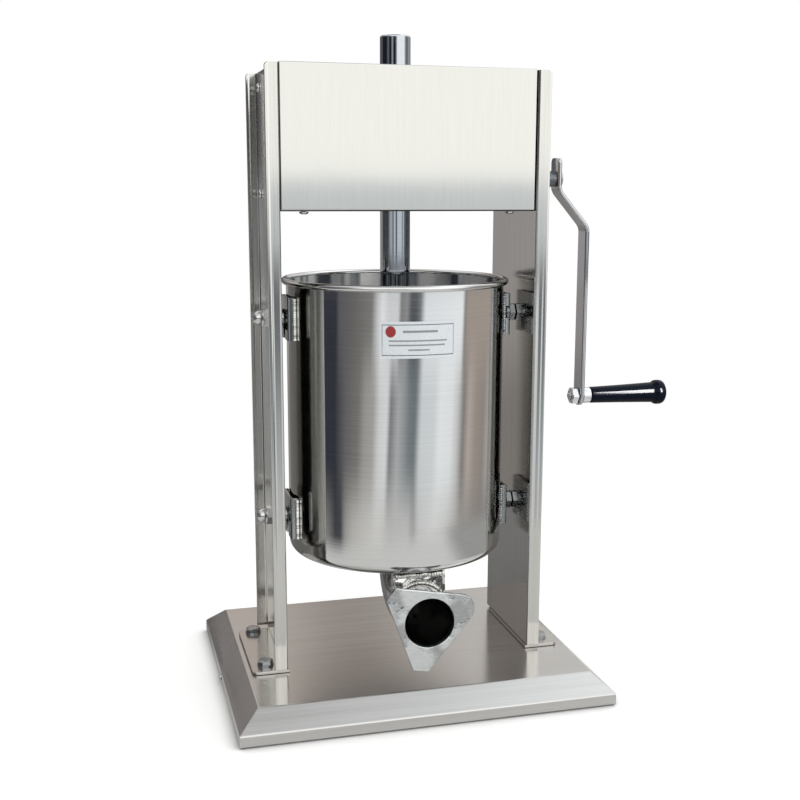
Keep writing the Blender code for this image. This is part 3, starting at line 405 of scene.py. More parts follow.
def brushed(name, colour, roughness, grain, axis, anisotropy, contrast, wave=0.1, reach=5.0, depth=0.82):
    """Brushed stainless: streaks along the grain vary colour and gloss, and scratches widen it across them."""
    paint, tree, shader = surface_of(name, colour, roughness, 1.0, Anisotropic=anisotropy)
    fine = noise_of(tree, 1.0, 4.0, grain)
    broad = noise_of(tree, 1.0, 2.0, scaled(grain, 0.3), 3.0)
    streaks = maths(tree, "MULTIPLY_ADD", broad, 0.45, maths(tree, "MULTIPLY", fine, 0.55))
    tinted(tree, shader, streaks, scaled(colour, 1.0 - contrast), scaled(colour, 1.0 + contrast * 0.6))
    varied(tree, shader, "Roughness", streaks, roughness * 0.82, roughness * 1.2)
    waves = noise_of(tree, 9.0, 1.0, seed=8.0)
    height = maths(tree, "MULTIPLY_ADD", waves, wave / SCRATCH_DEPTH, fine)
    bumped(tree, shader, height, mm(SCRATCH_DEPTH))
    tangent(tree, shader, axis)
    # Painted shade in creases and gaps: reach sets how wide it is, depth how dark
    paint_crease_shade(tree, shader, reach, depth)
    return paint


def polished(name, colour, roughness, grain, axis, anisotropy, rotation, wave):
    """Polished steel: nearly a mirror, with faint buffing lines and the slight waviness of thin sheet."""
    turn = {"Anisotropic Rotation": rotation}
    paint, tree, shader = surface_of(name, colour, roughness, 1.0, Anisotropic=anisotropy, **turn)
    lines = noise_of(tree, 1.0, 4.0, grain)
    waves = noise_of(tree, 1.0, 1.0, (11.0, 11.0, 3.0), 1.7)
    tinted(tree, shader, lines, scaled(colour, 0.96), scaled(colour, 1.03))
    varied(tree, shader, "Roughness", lines, roughness * 0.7, roughness * 1.4)
    bumped(tree, shader, maths(tree, "MULTIPLY_ADD", waves, wave, lines), mm(BUFFING_DEPTH))
    tangent(tree, shader, axis)
    # Painted shade in creases and gaps
    paint_crease_shade(tree, shader)
    return paint


def banded_by_painted_reflection(name, dark, light, roughness):
    """The inside of the vessel: satin steel whose colour runs in soft upright bands of painted reflection,
    dark and light.
    """
    turn = {"Anisotropic Rotation": 0.25}
    paint, tree, shader = surface_of(name, light, roughness, 1.0, Anisotropic=0.9, **turn)
    painted_reflection_bands = noise_of(tree, 1.0, 2.0, (38.0, 38.0, 1.5), 6.0)
    lines = noise_of(tree, 1.0, 4.0, HOOP_GRAIN)
    # The colour swings between the dark and light tints in bands: painted reflection
    tinted(tree, shader, smooth_step(tree, painted_reflection_bands, 0.42, 0.56, 0.3, 0.7), dark, light)
    varied(tree, shader, "Roughness", lines, roughness * 0.85, roughness * 1.2)
    bumped(tree, shader, lines, mm(BUFFING_DEPTH))
    tangent(tree, shader, "Z")
    # Painted shade in creases and gaps, narrower and fainter here
    paint_crease_shade(tree, shader, 4.0, 0.6)
    return paint


def plain(name, colour, roughness, metallic=0.0, speckle=400.0, bump=0.01, **fixed):
    """A moulded, cast or machined surface: fine grain in its colour, gloss and relief."""
    paint, tree, shader = surface_of(name, colour, roughness, metallic, **fixed)
    grain = noise_of(tree, speckle, 3.0)
    tinted(tree, shader, grain, scaled(colour, 0.93), scaled(colour, 1.06))
    gloss = noise_of(tree, speckle * 0.15, 2.0, seed=5.0)
    varied(tree, shader, "Roughness", gloss, roughness * 0.85, roughness * 1.15)
    bumped(tree, shader, grain, mm(bump))
    if metallic:
        # Metals get painted shade in creases and gaps
        paint_crease_shade(tree, shader, 2.5)
    return paint


def ground(name, colour, roughness, size, relief, contrast):
    """Steel finished by hand with a grinder: shallow facets, patches of shine and short scratches."""
    paint, tree, shader = surface_of(name, colour, roughness, 1.0, Anisotropic=0.3)
    patches = smooth_step(tree, noise_of(tree, size, 3.0), 0.38, 0.62)
    scratches = noise_of(tree, 1.0, 3.0, (200.0, 200.0, 900.0), 2.0)
    both = maths(tree, "MULTIPLY_ADD", scratches, 0.5, maths(tree, "MULTIPLY_ADD", patches, 0.4, 0.05))
    tinted(tree, shader, both, scaled(colour, 1.0 - contrast), scaled(colour, 1.0 + contrast))
    varied(tree, shader, "Roughness", patches, roughness * 0.6, roughness * 1.5)
    bumped(tree, shader, maths(tree, "MULTIPLY_ADD", scratches, 0.04, patches), mm(relief))
    tangent(tree, shader, "Y")
    # Painted shade in creases and gaps
    paint_crease_shade(tree, shader)
    return paint


STEEL, PLATE_STEEL = (0.66, 0.65, 0.625), (0.60, 0.575, 0.55)
VERTICAL_GRAIN, COVER_GRAIN = (820.0, 820.0, 9.0), (1500.0, 1500.0, 40.0)
BASE_GRAIN, HOOP_GRAIN = (7.0, 700.0, 700.0), (6.0, 6.0, 900.0)
CHROME_GRAIN, SHORT_GRAIN = (90.0, 90.0, 400.0), (300.0, 300.0, 60.0)
# Relief of brushing and of buffing, in millimetres
SCRATCH_DEPTH, BUFFING_DEPTH = 0.012, 0.006


def make_materials():
    soft_gloss = {"Specular IOR Level": 0.10}
    return {
        # After the wave, brushed() takes the reach in millimetres and the depth of its painted crease shade
        "cover": brushed("cover_steel", (0.665, 0.66, 0.635), 0.09, COVER_GRAIN, "Z", 0.8, 0.03, 0.16, 14.0),
        "panel": brushed("panel_steel", STEEL, 0.12, VERTICAL_GRAIN, "Z", 0.7, 0.11, 0.16),
        "plate": brushed("plate_steel", PLATE_STEEL, 0.18, BASE_GRAIN, "X", 0.5, 0.07, 0.2, 9.0, 0.93),
        "base": brushed("base_steel", (0.635, 0.62, 0.605), 0.20, BASE_GRAIN, "X", 0.75, 0.07, 0.30),
        "vessel": polished("vessel_steel", (0.70, 0.70, 0.69), 0.055, HOOP_GRAIN, "Z", 0.5, 0.25, 50.0),
        # The lining's near-black and white tints are its bands of painted reflection
        "lining": banded_by_painted_reflection("vessel_lining", (0.13, 0.15, 0.18), (0.99, 0.99, 0.99), 0.36),
        "chrome": polished("chrome", (0.78, 0.79, 0.80), 0.05, CHROME_GRAIN, "Z", 0.2, 0.0, 3.0),
        "rod": polished("rod_chrome", (0.56, 0.59, 0.63), 0.045, CHROME_GRAIN, "Z", 0.2, 0.0, 16.0),
        "crank": polished("crank_chrome", (0.60, 0.61, 0.63), 0.05, CHROME_GRAIN, "Z", 0.2, 0.0, 8.0),
        # Near-black steel for the cover's downward faces: painted shade
        "painted_underside_shade": plain("cover_underside_painted_shade", (0.10, 0.105, 0.11), 0.40, 1.0, 500.0, 0.01),
        # A darker copy of the fastener steel: painted shade on bolts, pins and the right-hand weld beads
        "painted_shade": plain("fastener_painted_shade", (0.36, 0.375, 0.385), 0.14, 1.0, 600.0, 0.006),
        "fastener": plain("stainless_fastener", (0.66, 0.66, 0.655), 0.10, 1.0, 600.0, 0.006),
        "elbow": brushed("elbow_steel", (0.56, 0.55, 0.55), 0.13, SHORT_GRAIN, "Z", 0.3, 0.06, depth=0.25),
        "bracket": brushed("bracket_steel", (0.36, 0.38, 0.39), 0.12, SHORT_GRAIN, "Z", 0.3, 0.06),
        "weld": plain("weld_metal", (0.72, 0.71, 0.68), 0.13, 1.0, 900.0, 0.05),
        "ground": ground("ground_steel", (0.57, 0.585, 0.585), 0.16, 42.0, 0.9, 0.27),
        "stay": ground("stay_steel", (0.70, 0.70, 0.69), 0.10, 70.0, 0.4, 0.16),
        "oiled": plain("oiled_steel", (0.16, 0.165, 0.18), 0.20, 1.0, 400.0, 0.01),
        "gear": plain("gear_steel", (0.38, 0.38, 0.39), 0.32, 1.0, 300.0, 0.02),
        "bronze": plain("bearing_bronze", (0.66, 0.44, 0.22), 0.30, 1.0, 300.0, 0.02),
        "black": plain("black_plastic", (0.0006, 0.0012, 0.003), 0.12, 0.0, 260.0, 0.0002, **soft_gloss),
        "white": plain("white_plastic", (0.84, 0.84, 0.82), 0.40, 0.0, 300.0, 0.03),
        "silicone": plain("silicone", (0.78, 0.78, 0.76), 0.55, 0.0, 300.0, 0.02),
        "rubber": plain("rubber", (0.025, 0.025, 0.027), 0.70, 0.0, 500.0, 0.05),
        "label": plain("label_film", (0.80, 0.84, 0.87), 0.30, 0.0, 900.0, 0.001),
        "ink": plain("label_ink", (0.10, 0.12, 0.14), 0.45, 0.0, 300.0, 0.002),
        "ink_red": plain("label_red", (0.36, 0.03, 0.03), 0.45, 0.0, 300.0, 0.002),
        "ink_grey": plain("label_grey", (0.30, 0.31, 0.33), 0.45, 0.0, 300.0, 0.002),
    }


SLOT_PAINT = {
    "brushed_steel": "panel",
    "polished_steel": "vessel",
    "chrome": "chrome",
    "zinc_steel": "fastener",
    "gear_steel": "gear",
    "bronze": "bronze",
    "black_plastic": "black",
    "white_plastic": "white",
    "silicone": "silicone",
    "rubber": "rubber",
    "label": "label",
}


NODE_PAINT = {"crank_shaft": "oiled"}


def paint_frame():
    """Gives every CAD node the finish of its material slot."""
    for part in frame["record"]["subparts"]:
        node = frame["nodes"][part["node"]]
        node.data.materials.clear()
        paint = NODE_PAINT.get(part["node"], SLOT_PAINT[part["material_slot"]])
        node.data.materials.append(PAINTS[paint])


# ---------------------------------------------------------------- shapes, in millimetres


def span_of(*nodes):
    """Lowest and highest corner of CAD nodes together, in millimetres."""
    boxes = [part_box(node) for node in nodes]
    low = Vector([min(box[0][i] for box in boxes) for i in range(3)])
    high = Vector([max(box[1][i] for box in boxes) for i in range(3)])
    return low * 1000.0, high * 1000.0


def middle_of(node, axis):
    """The middle of a CAD node's box across an axis, in X, Y, Z order."""
    low, high = span_of(node)
    return tuple((low[i] + high[i]) / 2 for i in range(3) if "xyz"[i] != axis)


def ends_of(node, side):
    """Where a CAD node's box starts and ends along X, going outwards."""
    low, high = span_of(node)
    return (low.x, high.x) if side > 0 else (high.x, low.x)


def vessel_circle():
    """Centre and radius of the vessel's outside."""
    low, high = span_of("vessel_floor")
    return middle_of("vessel_floor", "z"), (high.x - low.x) / 2


def quarter(steps):
    """Angles from 0 to 90 degrees in equal steps."""
    return [math.pi / 2 * step / steps for step in range(steps + 1)]


def strip(one, other, count):
    """Faces between two closed rings of corners, given by their first numbers."""
    faces = []
    for i in range(count):
        j = (i + 1) % count
        faces.append((one + i, one + j, other + j, other + i))
    return faces


def shape_from(points, faces):
    shape = bmesh.new()
    corners = [shape.verts.new(point) for point in points]
    for face in faces:
        shape.faces.new([corners[i] for i in face])
    bmesh.ops.recalc_face_normals(shape, faces=shape.faces)
    return shape


def on_axis(axis, along, first, second):
    """The point at `along` on the axis, with the other two coordinates in X, Y, Z order."""
    if axis == "x":
        return (along, first, second)
    if axis == "y":
        return (first, along, second)
    return (first, second, along)


def rounded(corners, steps=4):
    """A closed outline from (u, v, radius) corners, each drawn as an arc of its radius."""
    outline = []
    for k, (u, v, radius) in enumerate(corners):
        spot = Vector((u, v))
        if radius == 0.0:
            outline.append((u, v))
            continue
        before, after = corners[k - 1], corners[(k + 1) % len(corners)]
        back = (Vector(before[:2]) - spot).normalized()
        ahead = (Vector(after[:2]) - spot).normalized()
        half = back.angle(ahead) / 2
        centre = spot + (back + ahead).normalized() * radius / math.sin(half)
        start = spot + back * radius / math.tan(half) - centre
        end = spot + ahead * radius / math.tan(half) - centre
        turn = math.atan2(start.x * end.y - start.y * end.x, start.dot(end))
        for step in range(steps + 1):
            angle = turn * step / steps
            c, s = math.cos(angle), math.sin(angle)
            outline.append((centre.x + start.x * c - start.y * s, centre.y + start.x * s + start.y * c))
    return outline


def turned(profile, axis, centre, segments=64):
    """A closed profile of (radius, along) turned about an axis.

    A third value keeps that ring inside a hexagon, and is half its width across flats. A profile that starts
    and ends on the axis closes itself there.
    """
    points, rings = [], []
    for radius, along, *flat in profile:
        if radius == 0.0:
            rings.append([len(points)])
            points.append(on_axis(axis, along, *centre))
            continue
        rings.append(list(range(len(points), len(points) + segments)))
        for i in range(segments):
            angle = 2 * math.pi * i / segments
            reach = radius
            if flat:
                reach = min(radius, flat[0] / math.cos(angle % (math.pi / 3) - math.pi / 6))
            first, second = centre[0] + reach * math.cos(angle), centre[1] + reach * math.sin(angle)
            points.append(on_axis(axis, along, first, second))
    pairs = list(zip(rings, rings[1:]))
    if len(rings[0]) > 1:
        pairs.append((rings[-1], rings[0]))
    faces = []
    for one, other in pairs:
        for i in range(segments):
            j = (i + 1) % segments
            if len(one) == 1:
                faces.append((one[0], other[j], other[i]))
            elif len(other) == 1:
                faces.append((one[i], one[j], other[0]))
            else:
                faces.append((one[i], one[j], other[j], other[i]))
    return shape_from(points, faces)


def drill(radius, low, high, axis, centre, segments=64):
    """A plain cylinder along an axis."""
    return turned([(0.0, low), (radius, low), (radius, high), (0.0, high)], axis, centre, segments)


def ring_of(inner, outer, low, high, axis, centre, ease):
    """A flat washer with eased edges."""
    return eased(turned([(inner, low), (outer, low), (outer, high), (inner, high)], axis, centre), ease)


def prism(outline, axis, low, high):
    return loft([[on_axis(axis, along, *corner) for corner in outline] for along in (low, high)])


def block(low, high):
    corners = [(low[0], low[1]), (high[0], low[1]), (high[0], high[1]), (low[0], high[1])]
    return prism(corners, "z", low[2], high[2])


def loft(rings):
    """Rings of equal count joined in order, with flat ends."""
    count = len(rings[0])
    points = [point for ring in rings for point in ring]
    faces = [tuple(range(count)), tuple(range(len(points) - 1, len(points) - 1 - count, -1))]
    for k in range(len(rings) - 1):
        faces += strip(k * count, (k + 1) * count, count)
    return shape_from(points, faces)


def eased(shape, width, angle=35.0, segments=2):
    """Rounds every edge that turns by more than the angle."""
    sharp = [e for e in shape.edges if e.is_manifold and e.calc_face_angle() > math.radians(angle)]
    settings = {"segments": segments, "profile": 0.5, "affect": "EDGES", "clamp_overlap": True}
    bmesh.ops.bevel(shape, geom=sharp, offset=width, **settings)
    return shape


def object_of(name, shape):
    mesh = bpy.data.meshes.new(name)
    shape.to_mesh(mesh)
    shape.free()
    made = bpy.data.objects.new(name, mesh)
    bpy.context.scene.collection.objects.link(made)
    return made


def carved(shape, *tools, operation="DIFFERENCE"):
    """The shape with the tools cut from it, or joined to it."""
    target = object_of("carved", shape)
    for tool in tools:
        cutter = object_of("cutter", tool)
        boolean = target.modifiers.new("boolean", "BOOLEAN")
        boolean.operation = operation
        boolean.object = cutter
        bpy.context.view_layer.update()
        mesh = bpy.data.meshes.new_from_object(target.evaluated_get(bpy.context.evaluated_depsgraph_get()))
        target.modifiers.clear()
        target.data = mesh
        bpy.data.objects.remove(cutter)
    result = bmesh.new()
    result.from_mesh(target.data)
    bpy.data.objects.remove(target)
    return result


def joined(*shapes):
    """Several shapes in one mesh."""
    whole = bmesh.new()
    for shape in shapes:
        mesh = bpy.data.meshes.new("part")
        shape.to_mesh(mesh)
        shape.free()
        whole.from_mesh(mesh)
        bpy.data.meshes.remove(mesh)
    return whole


def make(name, shape, paint, body, stands_for=(), angle=35.0):
    """Turns a shape in millimetres into a piece that rides on a body and stands for CAD nodes."""
    bmesh.ops.scale(shape, vec=(0.001, 0.001, 0.001), verts=shape.verts)
    made = object_of(name, shape)
    made.data.materials.append(PAINTS[paint])
    made.data.shade_smooth()
    made.data.set_sharp_from_angle(angle=math.radians(angle))
    normals = made.modifiers.new("normals", "WEIGHTED_NORMAL")
    normals.keep_sharp = True
    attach(made, body)
    if stands_for:
        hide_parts(*stands_for)
    return made


# ---------------------------------------------------------------- pieces

SIDES = ((-1, "left"), (1, "right"))
# Between the elbow and the edge of the stay plate round it
GAP = 0.3
# How much nearer the uprights the cover's sheet stands than its plain CAD box
COVER_CLOSER = 1.8
ELBOW_WALL = 2.25
RACK_MODULE = 2.5


def bead(path, radius, pitch=1.5, seed=1):
    """A weld bead along a path: overlapping ripples, a little uneven in width."""
    chance = random.Random(seed)
    rings = []
    travelled = 0.0
    for start, end in zip(path, path[1:]):
        start, end = Vector(start), Vector(end)
        length = (end - start).length
        ahead = (end - start).normalized()
        side = ahead.orthogonal().normalized()
        up = ahead.cross(side)
        steps = max(1, round(length / (pitch / 4)))
        for step in range(steps):
            phase = ((travelled + length * step / steps) / pitch) % 1.0
            reach = radius * (0.72 + 0.36 * math.sqrt(1.0 - phase)) * chance.uniform(0.90, 1.10)
            middle = start + (end - start) * step / steps
            ring = []
            for i in range(10):
                angle = 2 * math.pi * i / 10
                ring.append(middle + (side * math.cos(angle) + up * math.sin(angle)) * reach)
            rings.append(ring)
        travelled += length
    return loft(rings)


def base_tray():
    """The folded tray with its sloping border, and the rubber feet under it."""
    low, high = span_of("base_pan")
    centre_x = (low.x + high.x) / 2
    half_x, half_y = (high.x - low.x) / 2, (high.y - low.y) / 2
    lip_top, slope_in, sheet, flat_in = 12.3, 20.3, 2.0, 40.0
    under = high.z - sheet
    corners = [(0.0, low.z, 0.0), (0.0, lip_top, 3.2), (slope_in, high.z, 3.0), (flat_in, high.z, 0.0)]
    corners += [(flat_in, under, 0.0), (slope_in + 0.8, under, 1.0), (sheet, lip_top - 0.9, 1.0)]
    section = rounded(corners + [(sheet, low.z, 0.0)], 5)
    points = []
    for turn_x, turn_y in ((-1, -1), (1, -1), (1, 1), (-1, 1)):
        for inset, height in section:
            points.append((centre_x + turn_x * (half_x - inset), turn_y * (half_y - inset), height))
    count = len(section)
    inner = section.index((flat_in, high.z))
    faces = [tuple(k * count + inner for k in range(4)), tuple(k * count + inner + 1 for k in (3, 2, 1, 0))]
    for corner in range(4):
        here, there = corner * count, (corner + 1) % 4 * count
        sides = strip(here, there, count)
        faces += sides[:inner] + sides[inner + 1 :]
    tray = eased(shape_from(points, faces), 0.7, 38.0)
    make("base_tray", tray, "base", "frame", ["base_pan"])
    for end in ("fl", "fr", "bl", "br"):
        low, high = span_of(f"foot_{end}")
        out = (high.x - low.x) / 2
        profile = [(0.0, 1.2), (4.0, 1.2), (4.6, 0.0), (out - 1.6, 0.0), (out - 0.4, 0.5), (out, 1.7)]
        profile += [(out - 1.0, high.z), (0.0, high.z)]
        foot = turned(profile, "z", middle_of(f"foot_{end}", "z"), 48)
        make(f"rubber_foot_{end}", foot, "rubber", "frame", [f"foot_{end}"])


def hex_head(wide, tall, base, crown=0.62):
    """Rings up a hexagon head with a turned chamfer: wide is half its width across flats."""
    tip = wide / math.cos(math.pi / 6)
    rings = [(tip + 1.0, base, wide)]
    for step in range(5):
        drop = crown * (1 - step / 4)
        rings.append((tip - (tip - wide * 0.93) * step / 4, base + tall - drop, wide))
    return rings


def foot_pieces():
    """The plates under the uprights and the hexagon bolts through them."""
    thick = 1.3
    for side, name in SIDES:
        low, high = span_of(f"foot_plate_{name}")
        inside, out = ends_of(f"foot_plate_{name}", side)
        corners = [(inside, low.y, 0.4), (out, low.y, 7.0), (out, high.y, 7.0), (inside, high.y, 0.4)]
        plate = eased(prism(rounded(corners, 6), "z", low.z, high.z), 0.45)
        make(f"foot_plate_of_{name}", plate, "plate", "frame", [f"foot_plate_{name}"])
        seat = high.z
        for end in "fr":
            node = f"foot_bolt_{name[0]}{end}"
            low, high = span_of(node)
            centre = middle_of(node, "z")
            washer = ring_of(4.2, 8.3, seat, seat + thick, "z", centre, 0.25)
            head = hex_head(6.5, high.z - seat - thick, seat + thick)
            crown = high.z - 0.35
            profile = [(0.0, crown), (4.6, crown), (5.0, high.z)] + head[::-1]
            profile += [(4.0, seat + thick), (4.0, low.z), (0.0, low.z)]
            bolt = turned(profile, "z", centre, 72)
            # The foot bolts take the darker steel as painted shade
            make(f"hex_bolt_{name[0]}{end}", joined(washer, bolt), "painted_shade", "frame", [node])


# The front flanges are dressed by hand, so their faces wander: (distance from the web, how far forward)
FLANGE_WAVES = {
    "left": ((3.0, 0.0), (7.6, 0.0), (8.0, 0.03), (8.7, 0.11), (9.1, 0.13), (13.0, 0.13)),
    "right": (
        (3.0, 0.0), (3.8, 0.0), (4.8, 0.03), (5.4, 0.09), (7.7, 0.37),
        (8.1, 0.40), (9.1, 0.37), (9.5, 0.40), (12.4, 0.75), (13.0, 0.78),
    ),
}


def wave_at(waves, distance):
    """How far forward a flange's face stands at a distance from the web."""
    for (near, low), (far, high) in zip(waves, waves[1:]):
        if distance <= far:
            return low + (high - low) * (distance - near) / (far - near)
    return waves[-1][1]


def upright_pieces():
    """The channels: open side outwards, tops rounded towards the flanges' edges, fronts a little wavy."""
    sheet, corner = 2.5, 4.0
    tip = [corner * (1 - math.cos(turn)) for turn in quarter(5)]
    for side, name in SIDES:
        node = f"upright_{name}"
        low, high = span_of(node)
        web, out = ends_of(node, side)
        front_in, back_in = low.y + sheet, high.y - sheet
        inner = web + side * sheet
        waves, width = FLANGE_WAVES[name], abs(out - web)
        spots = sorted([width - reach for reach in tip] + [spot for spot, _ in waves if spot < width - 0.1])
        hollow = [(out, front_in, 0.0), (inner, front_in, 1.2), (inner, back_in, 1.2), (out, back_in, 0.0)]
        back = [(out, high.y, 0.0), (web, high.y, 2.0), (web, low.y, 2.0), (out, low.y, 0.0)]
        outline = [(web + side * spot, low.y - wave_at(waves, spot)) for spot in spots]
        outline += [(out - side * reach, front_in) for reach in tip] + rounded(hollow)[1:-1]
        outline += [(out - side * reach, back_in) for reach in tip[::-1]]
        outline += [(out - side * reach, high.y) for reach in tip] + rounded(back, 6)[1:-1]

        def top(x):
            reach = abs(out - x)
            if reach >= corner:
                return high.z
            return high.z - corner + math.sqrt(corner**2 - (corner - reach) ** 2)

        channel = loft([[(x, y, low.z) for x, y in outline], [(x, y, top(x)) for x, y in outline]])
        make(f"channel_{name}", eased(channel, 0.25, 60.0), "panel", "frame", [node])


def round_screw(name, node, axis, direction):
    """A button-head screw with a hexagon socket; direction is the way its head faces."""
    low, high = span_of(node)
    index = "xyz".index(axis)
    across = 1 if index == 0 else 0
    head_r = (high[across] - low[across]) / 2
    far, near = (high[index], low[index]) if direction > 0 else (low[index], high[index])
    tall = head_r * 0.56

    def at(depth):
        return far - direction * depth

    dome = [(head_r, at(tall)), (head_r, at(tall * 0.75))]
    for turn in quarter(6)[1:-1]:
        dome.append((head_r * (0.45 + 0.55 * math.cos(turn)), at(tall * 0.75 * (1 - math.sin(turn)))))
    socket = head_r * 0.34
    corner = socket * 1.16
    dome += [(socket * 1.25, at(0.0)), (corner, at(0.1), socket), (corner, at(tall * 0.8), socket)]
    dome.append((0.0, at(tall * 0.9)))
    profile = dome[::-1] + [(head_r * 0.5, at(tall)), (head_r * 0.5, near), (0.0, near)]
    screw = turned(profile, axis, middle_of(node, axis), 48)
    make(name, screw, "fastener", "frame", [node])


def screw_pieces():
    round_screw("lip_button_screw", "lip_screw", "x", -1)
    for side, name in SIDES:
        round_screw(f"cover_button_screw_{name}", f"cover_screw_{name}", "z", -1)
        for height in "lu":
            key = height + name[0]
            round_screw(f"web_button_screw_{key}", f"web_screw_{key}", "x", side)


def post_pieces():
    """The vessel's pins inside the uprights and the dome nuts outside them."""
    for side, name in SIDES:
        for height in "lu":
            key = height + name[0]
            dome_nut(key, side)
            pin(key, side)


def dome_nut(key, side):
    node = f"acorn_nut_{key}"
    centre = middle_of(node, "x")
    near, far = ends_of(node, side)

    def at(distance):
        return near + side * distance

    washer = ring_of(5.2, 10.2, at(0.0), at(1.6), "x", centre, 0.3)
    wide, dome_r, dome_start = 8.3, 7.5, 10.4
    tip = wide / math.cos(math.pi / 6)
    profile = [(0.0, at(1.7)), (wide * 0.95, at(1.7), wide)]
    profile += [(tip, at(2.3), wide), (tip + 1, at(3.0), wide), (tip + 1, at(7.4), wide)]
    profile += [(tip, at(7.8), wide), (wide * 0.95, at(8.6), wide), (7.5, at(8.9))]
    reach = abs(far - near) - dome_start
    for turn in quarter(8)[:-1]:
        profile.append((dome_r * math.cos(turn), at(dome_start + reach * math.sin(turn))))
    nut = turned(profile + [(0.0, at(dome_start + reach))], "x", centre, 72)
    make(f"dome_nut_{key}", joined(washer, nut), "fastener", "frame", [node])


def pin(key, side):
    node = f"post_{key}"
    start, end = ends_of(node, side)

    def at(distance):
        return start + side * distance

    wide = 8.2
    tip = wide / math.cos(math.pi / 6)
    profile = [(0.0, at(0.0)), (4.2, at(0.0)), (5.0, at(0.8)), (5.0, at(4.8))]
    profile += [(8.3, at(4.8)), (8.6, at(5.1)), (8.6, at(7.4)), (8.3, at(7.7))]
    profile += [(wide * 0.95, at(7.8), wide), (tip, at(8.4), wide), (tip + 1, at(9.0), wide)]
    profile += [(tip + 1, at(13.6), wide), (wide * 0.95, at(14.2), wide), (5.0, at(14.2))]
    profile += [(5.0, end), (0.0, end)]
    shape = turned(profile, "x", middle_of(node, "x"), 72)
    # The pin takes the darker steel as painted shade
    make(f"pin_{key}", shape, "painted_shade", "frame", [node])


def cover_piece():
    """The gearbox's folded sheet, open at its ends and below, with the rod's hole in its top."""
    low, high = span_of("gearbox_cover")
    closer = Vector((COVER_CLOSER, 0.0, 0.0))
    low, high = low - closer, high + closer
    sheet, bend, low_bend = 1.5, 1.1, 2.3
    corners = [(low.y, low.z, low_bend), (high.y, low.z, low_bend)]
    corners += [(high.y, high.z, bend), (low.y, high.z, bend)]
    shell = eased(prism(rounded(corners, 7), "x", low.x, high.x), 0.9, 60.0, 4)
    inset = Vector((sheet, sheet, sheet))
    hollow = block(low + inset, high - inset)
    side_hole = block((low.x - 5, low.y + 13.4, low.z + sheet), (high.x + 5, high.y - 13.0, high.z - sheet))
    under_hole = block((low.x - 5, low.y + 17.4, low.z - 5), (high.x + 5, high.y - 17.0, low.z + 5))
    rod_low, rod_high = span_of("rack_rod")
    hole_r = (rod_high.x - rod_low.x) / 2 + 1.5
    rod_hole = drill(hole_r, high.z - 5, high.z + 5, "z", middle_of("rack_rod", "z"))
    cover = carved(shell, hollow, side_hole, under_hole, rod_hole)
    made = make("gearbox_cover_sheet", cover, "cover", "frame", ["gearbox_cover"])
    # Faces that look down take a near-black steel: painted shade along the bottom bend and underside
    made.data.materials.append(PAINTS["painted_underside_shade"])
    for face in made.data.polygons:
        if face.normal.z < -0.5:
            face.material_index = 1


def rod_piece():
    """The chrome rod with its rack teeth on the back and a plain end for the piston."""
    low, high = span_of("rack_rod")
    radius = (high.x - low.x) / 2
    centre = ((low.x + high.x) / 2, low.y + radius)
    tip, shoulder = 2.0, low.z + 16.3
    profile = [(0.0, low.z), (7.9, low.z), (7.9, shoulder), (radius - 0.4, shoulder)]
    profile += [(radius, low.z + 16.7), (radius, high.z - tip)]
    for turn in quarter(5)[1:]:
        profile.append((radius - tip * (1 - math.cos(turn)), high.z - tip * (1 - math.sin(turn))))
    profile += [(radius - 5.0, high.z), (radius - 6.0, high.z - 0.4), (0.0, high.z - 0.4)]
    rod = turned(profile, "z", centre, 96)
    pitch, depth, margin = math.pi * RACK_MODULE, 5.2, 6.0
    tooth_tip, outside = centre[1] + 13.7, centre[1] + 20.0
    teeth_low, teeth_high = low.z + 101.0, low.z + 391.0
    outline = [(outside, teeth_low), (tooth_tip, teeth_low)]
    for k in range(int((teeth_high - teeth_low - margin) / pitch)):
        middle = teeth_low + margin + k * pitch
        outline += [(tooth_tip, middle - 2.9), (tooth_tip - depth, middle - 1.1)]
        outline += [(tooth_tip - depth, middle + 1.1), (tooth_tip, middle + 2.9)]
    outline += [(tooth_tip, teeth_high), (outside, teeth_high)]
    comb = prism(outline, "x", low.x - 20.0, high.x + 20.0)
    make("toothed_rod", carved(rod, comb), "rod", "rack", ["rack_rod"])


def vessel_pieces():
    """The polished outside with its rolled rim, the duller inside, and the outlet hole through both."""
    low, high = span_of("vessel", "vessel_floor")
    centre, radius = vessel_circle()
    wall, corner, bead_r = 1.8, 10.0, 3.2
    half, bead_out, bead_z = wall / 2, radius + 1.6, high.z - bead_r

    def curve(depth):
        """The floor and its corner at a depth into the sheet, from the axis outwards."""
        reach = corner - depth
        out = radius - corner
        return [(out + reach * math.sin(t), low.z + corner - reach * math.cos(t)) for t in quarter(8)]

    outside = [(0.0, low.z)] + curve(0.0) + [(radius, bead_z - 3.0)]
    for step in range(19):
        turn = math.radians(-62.0 + 15.0 * step)
        outside.append((bead_out + bead_r * math.cos(turn), bead_z + bead_r * math.sin(turn)))
    outside += [(radius - half, bead_z - 2.6)] + curve(half)[::-1] + [(0.0, low.z + half)]
    inside = [(0.0, low.z + half + 0.02)] + curve(half + 0.02) + [(radius - half - 0.02, bead_z - 1.0)]
    inside += [(radius - wall, bead_z - 1.0)] + curve(wall)[::-1] + [(0.0, low.z + wall)]
    elbow_low, elbow_high = span_of("outlet_elbow")
    elbow_r = (elbow_high.x - elbow_low.x) / 2
    drop = (centre[0], elbow_high.y - elbow_r)
    pieces = (("shell", outside, "vessel", ["vessel", "vessel_floor"]), ("lining", inside, "lining", []))
    for name, profile, paint, nodes in pieces:
        hole = drill(elbow_r - ELBOW_WALL, low.z - 5, low.z + 8, "z", drop)
        shape = carved(turned(profile, "z", centre, 160), hole)
        make(f"vessel_{name}", shape, paint, "vessel", nodes)


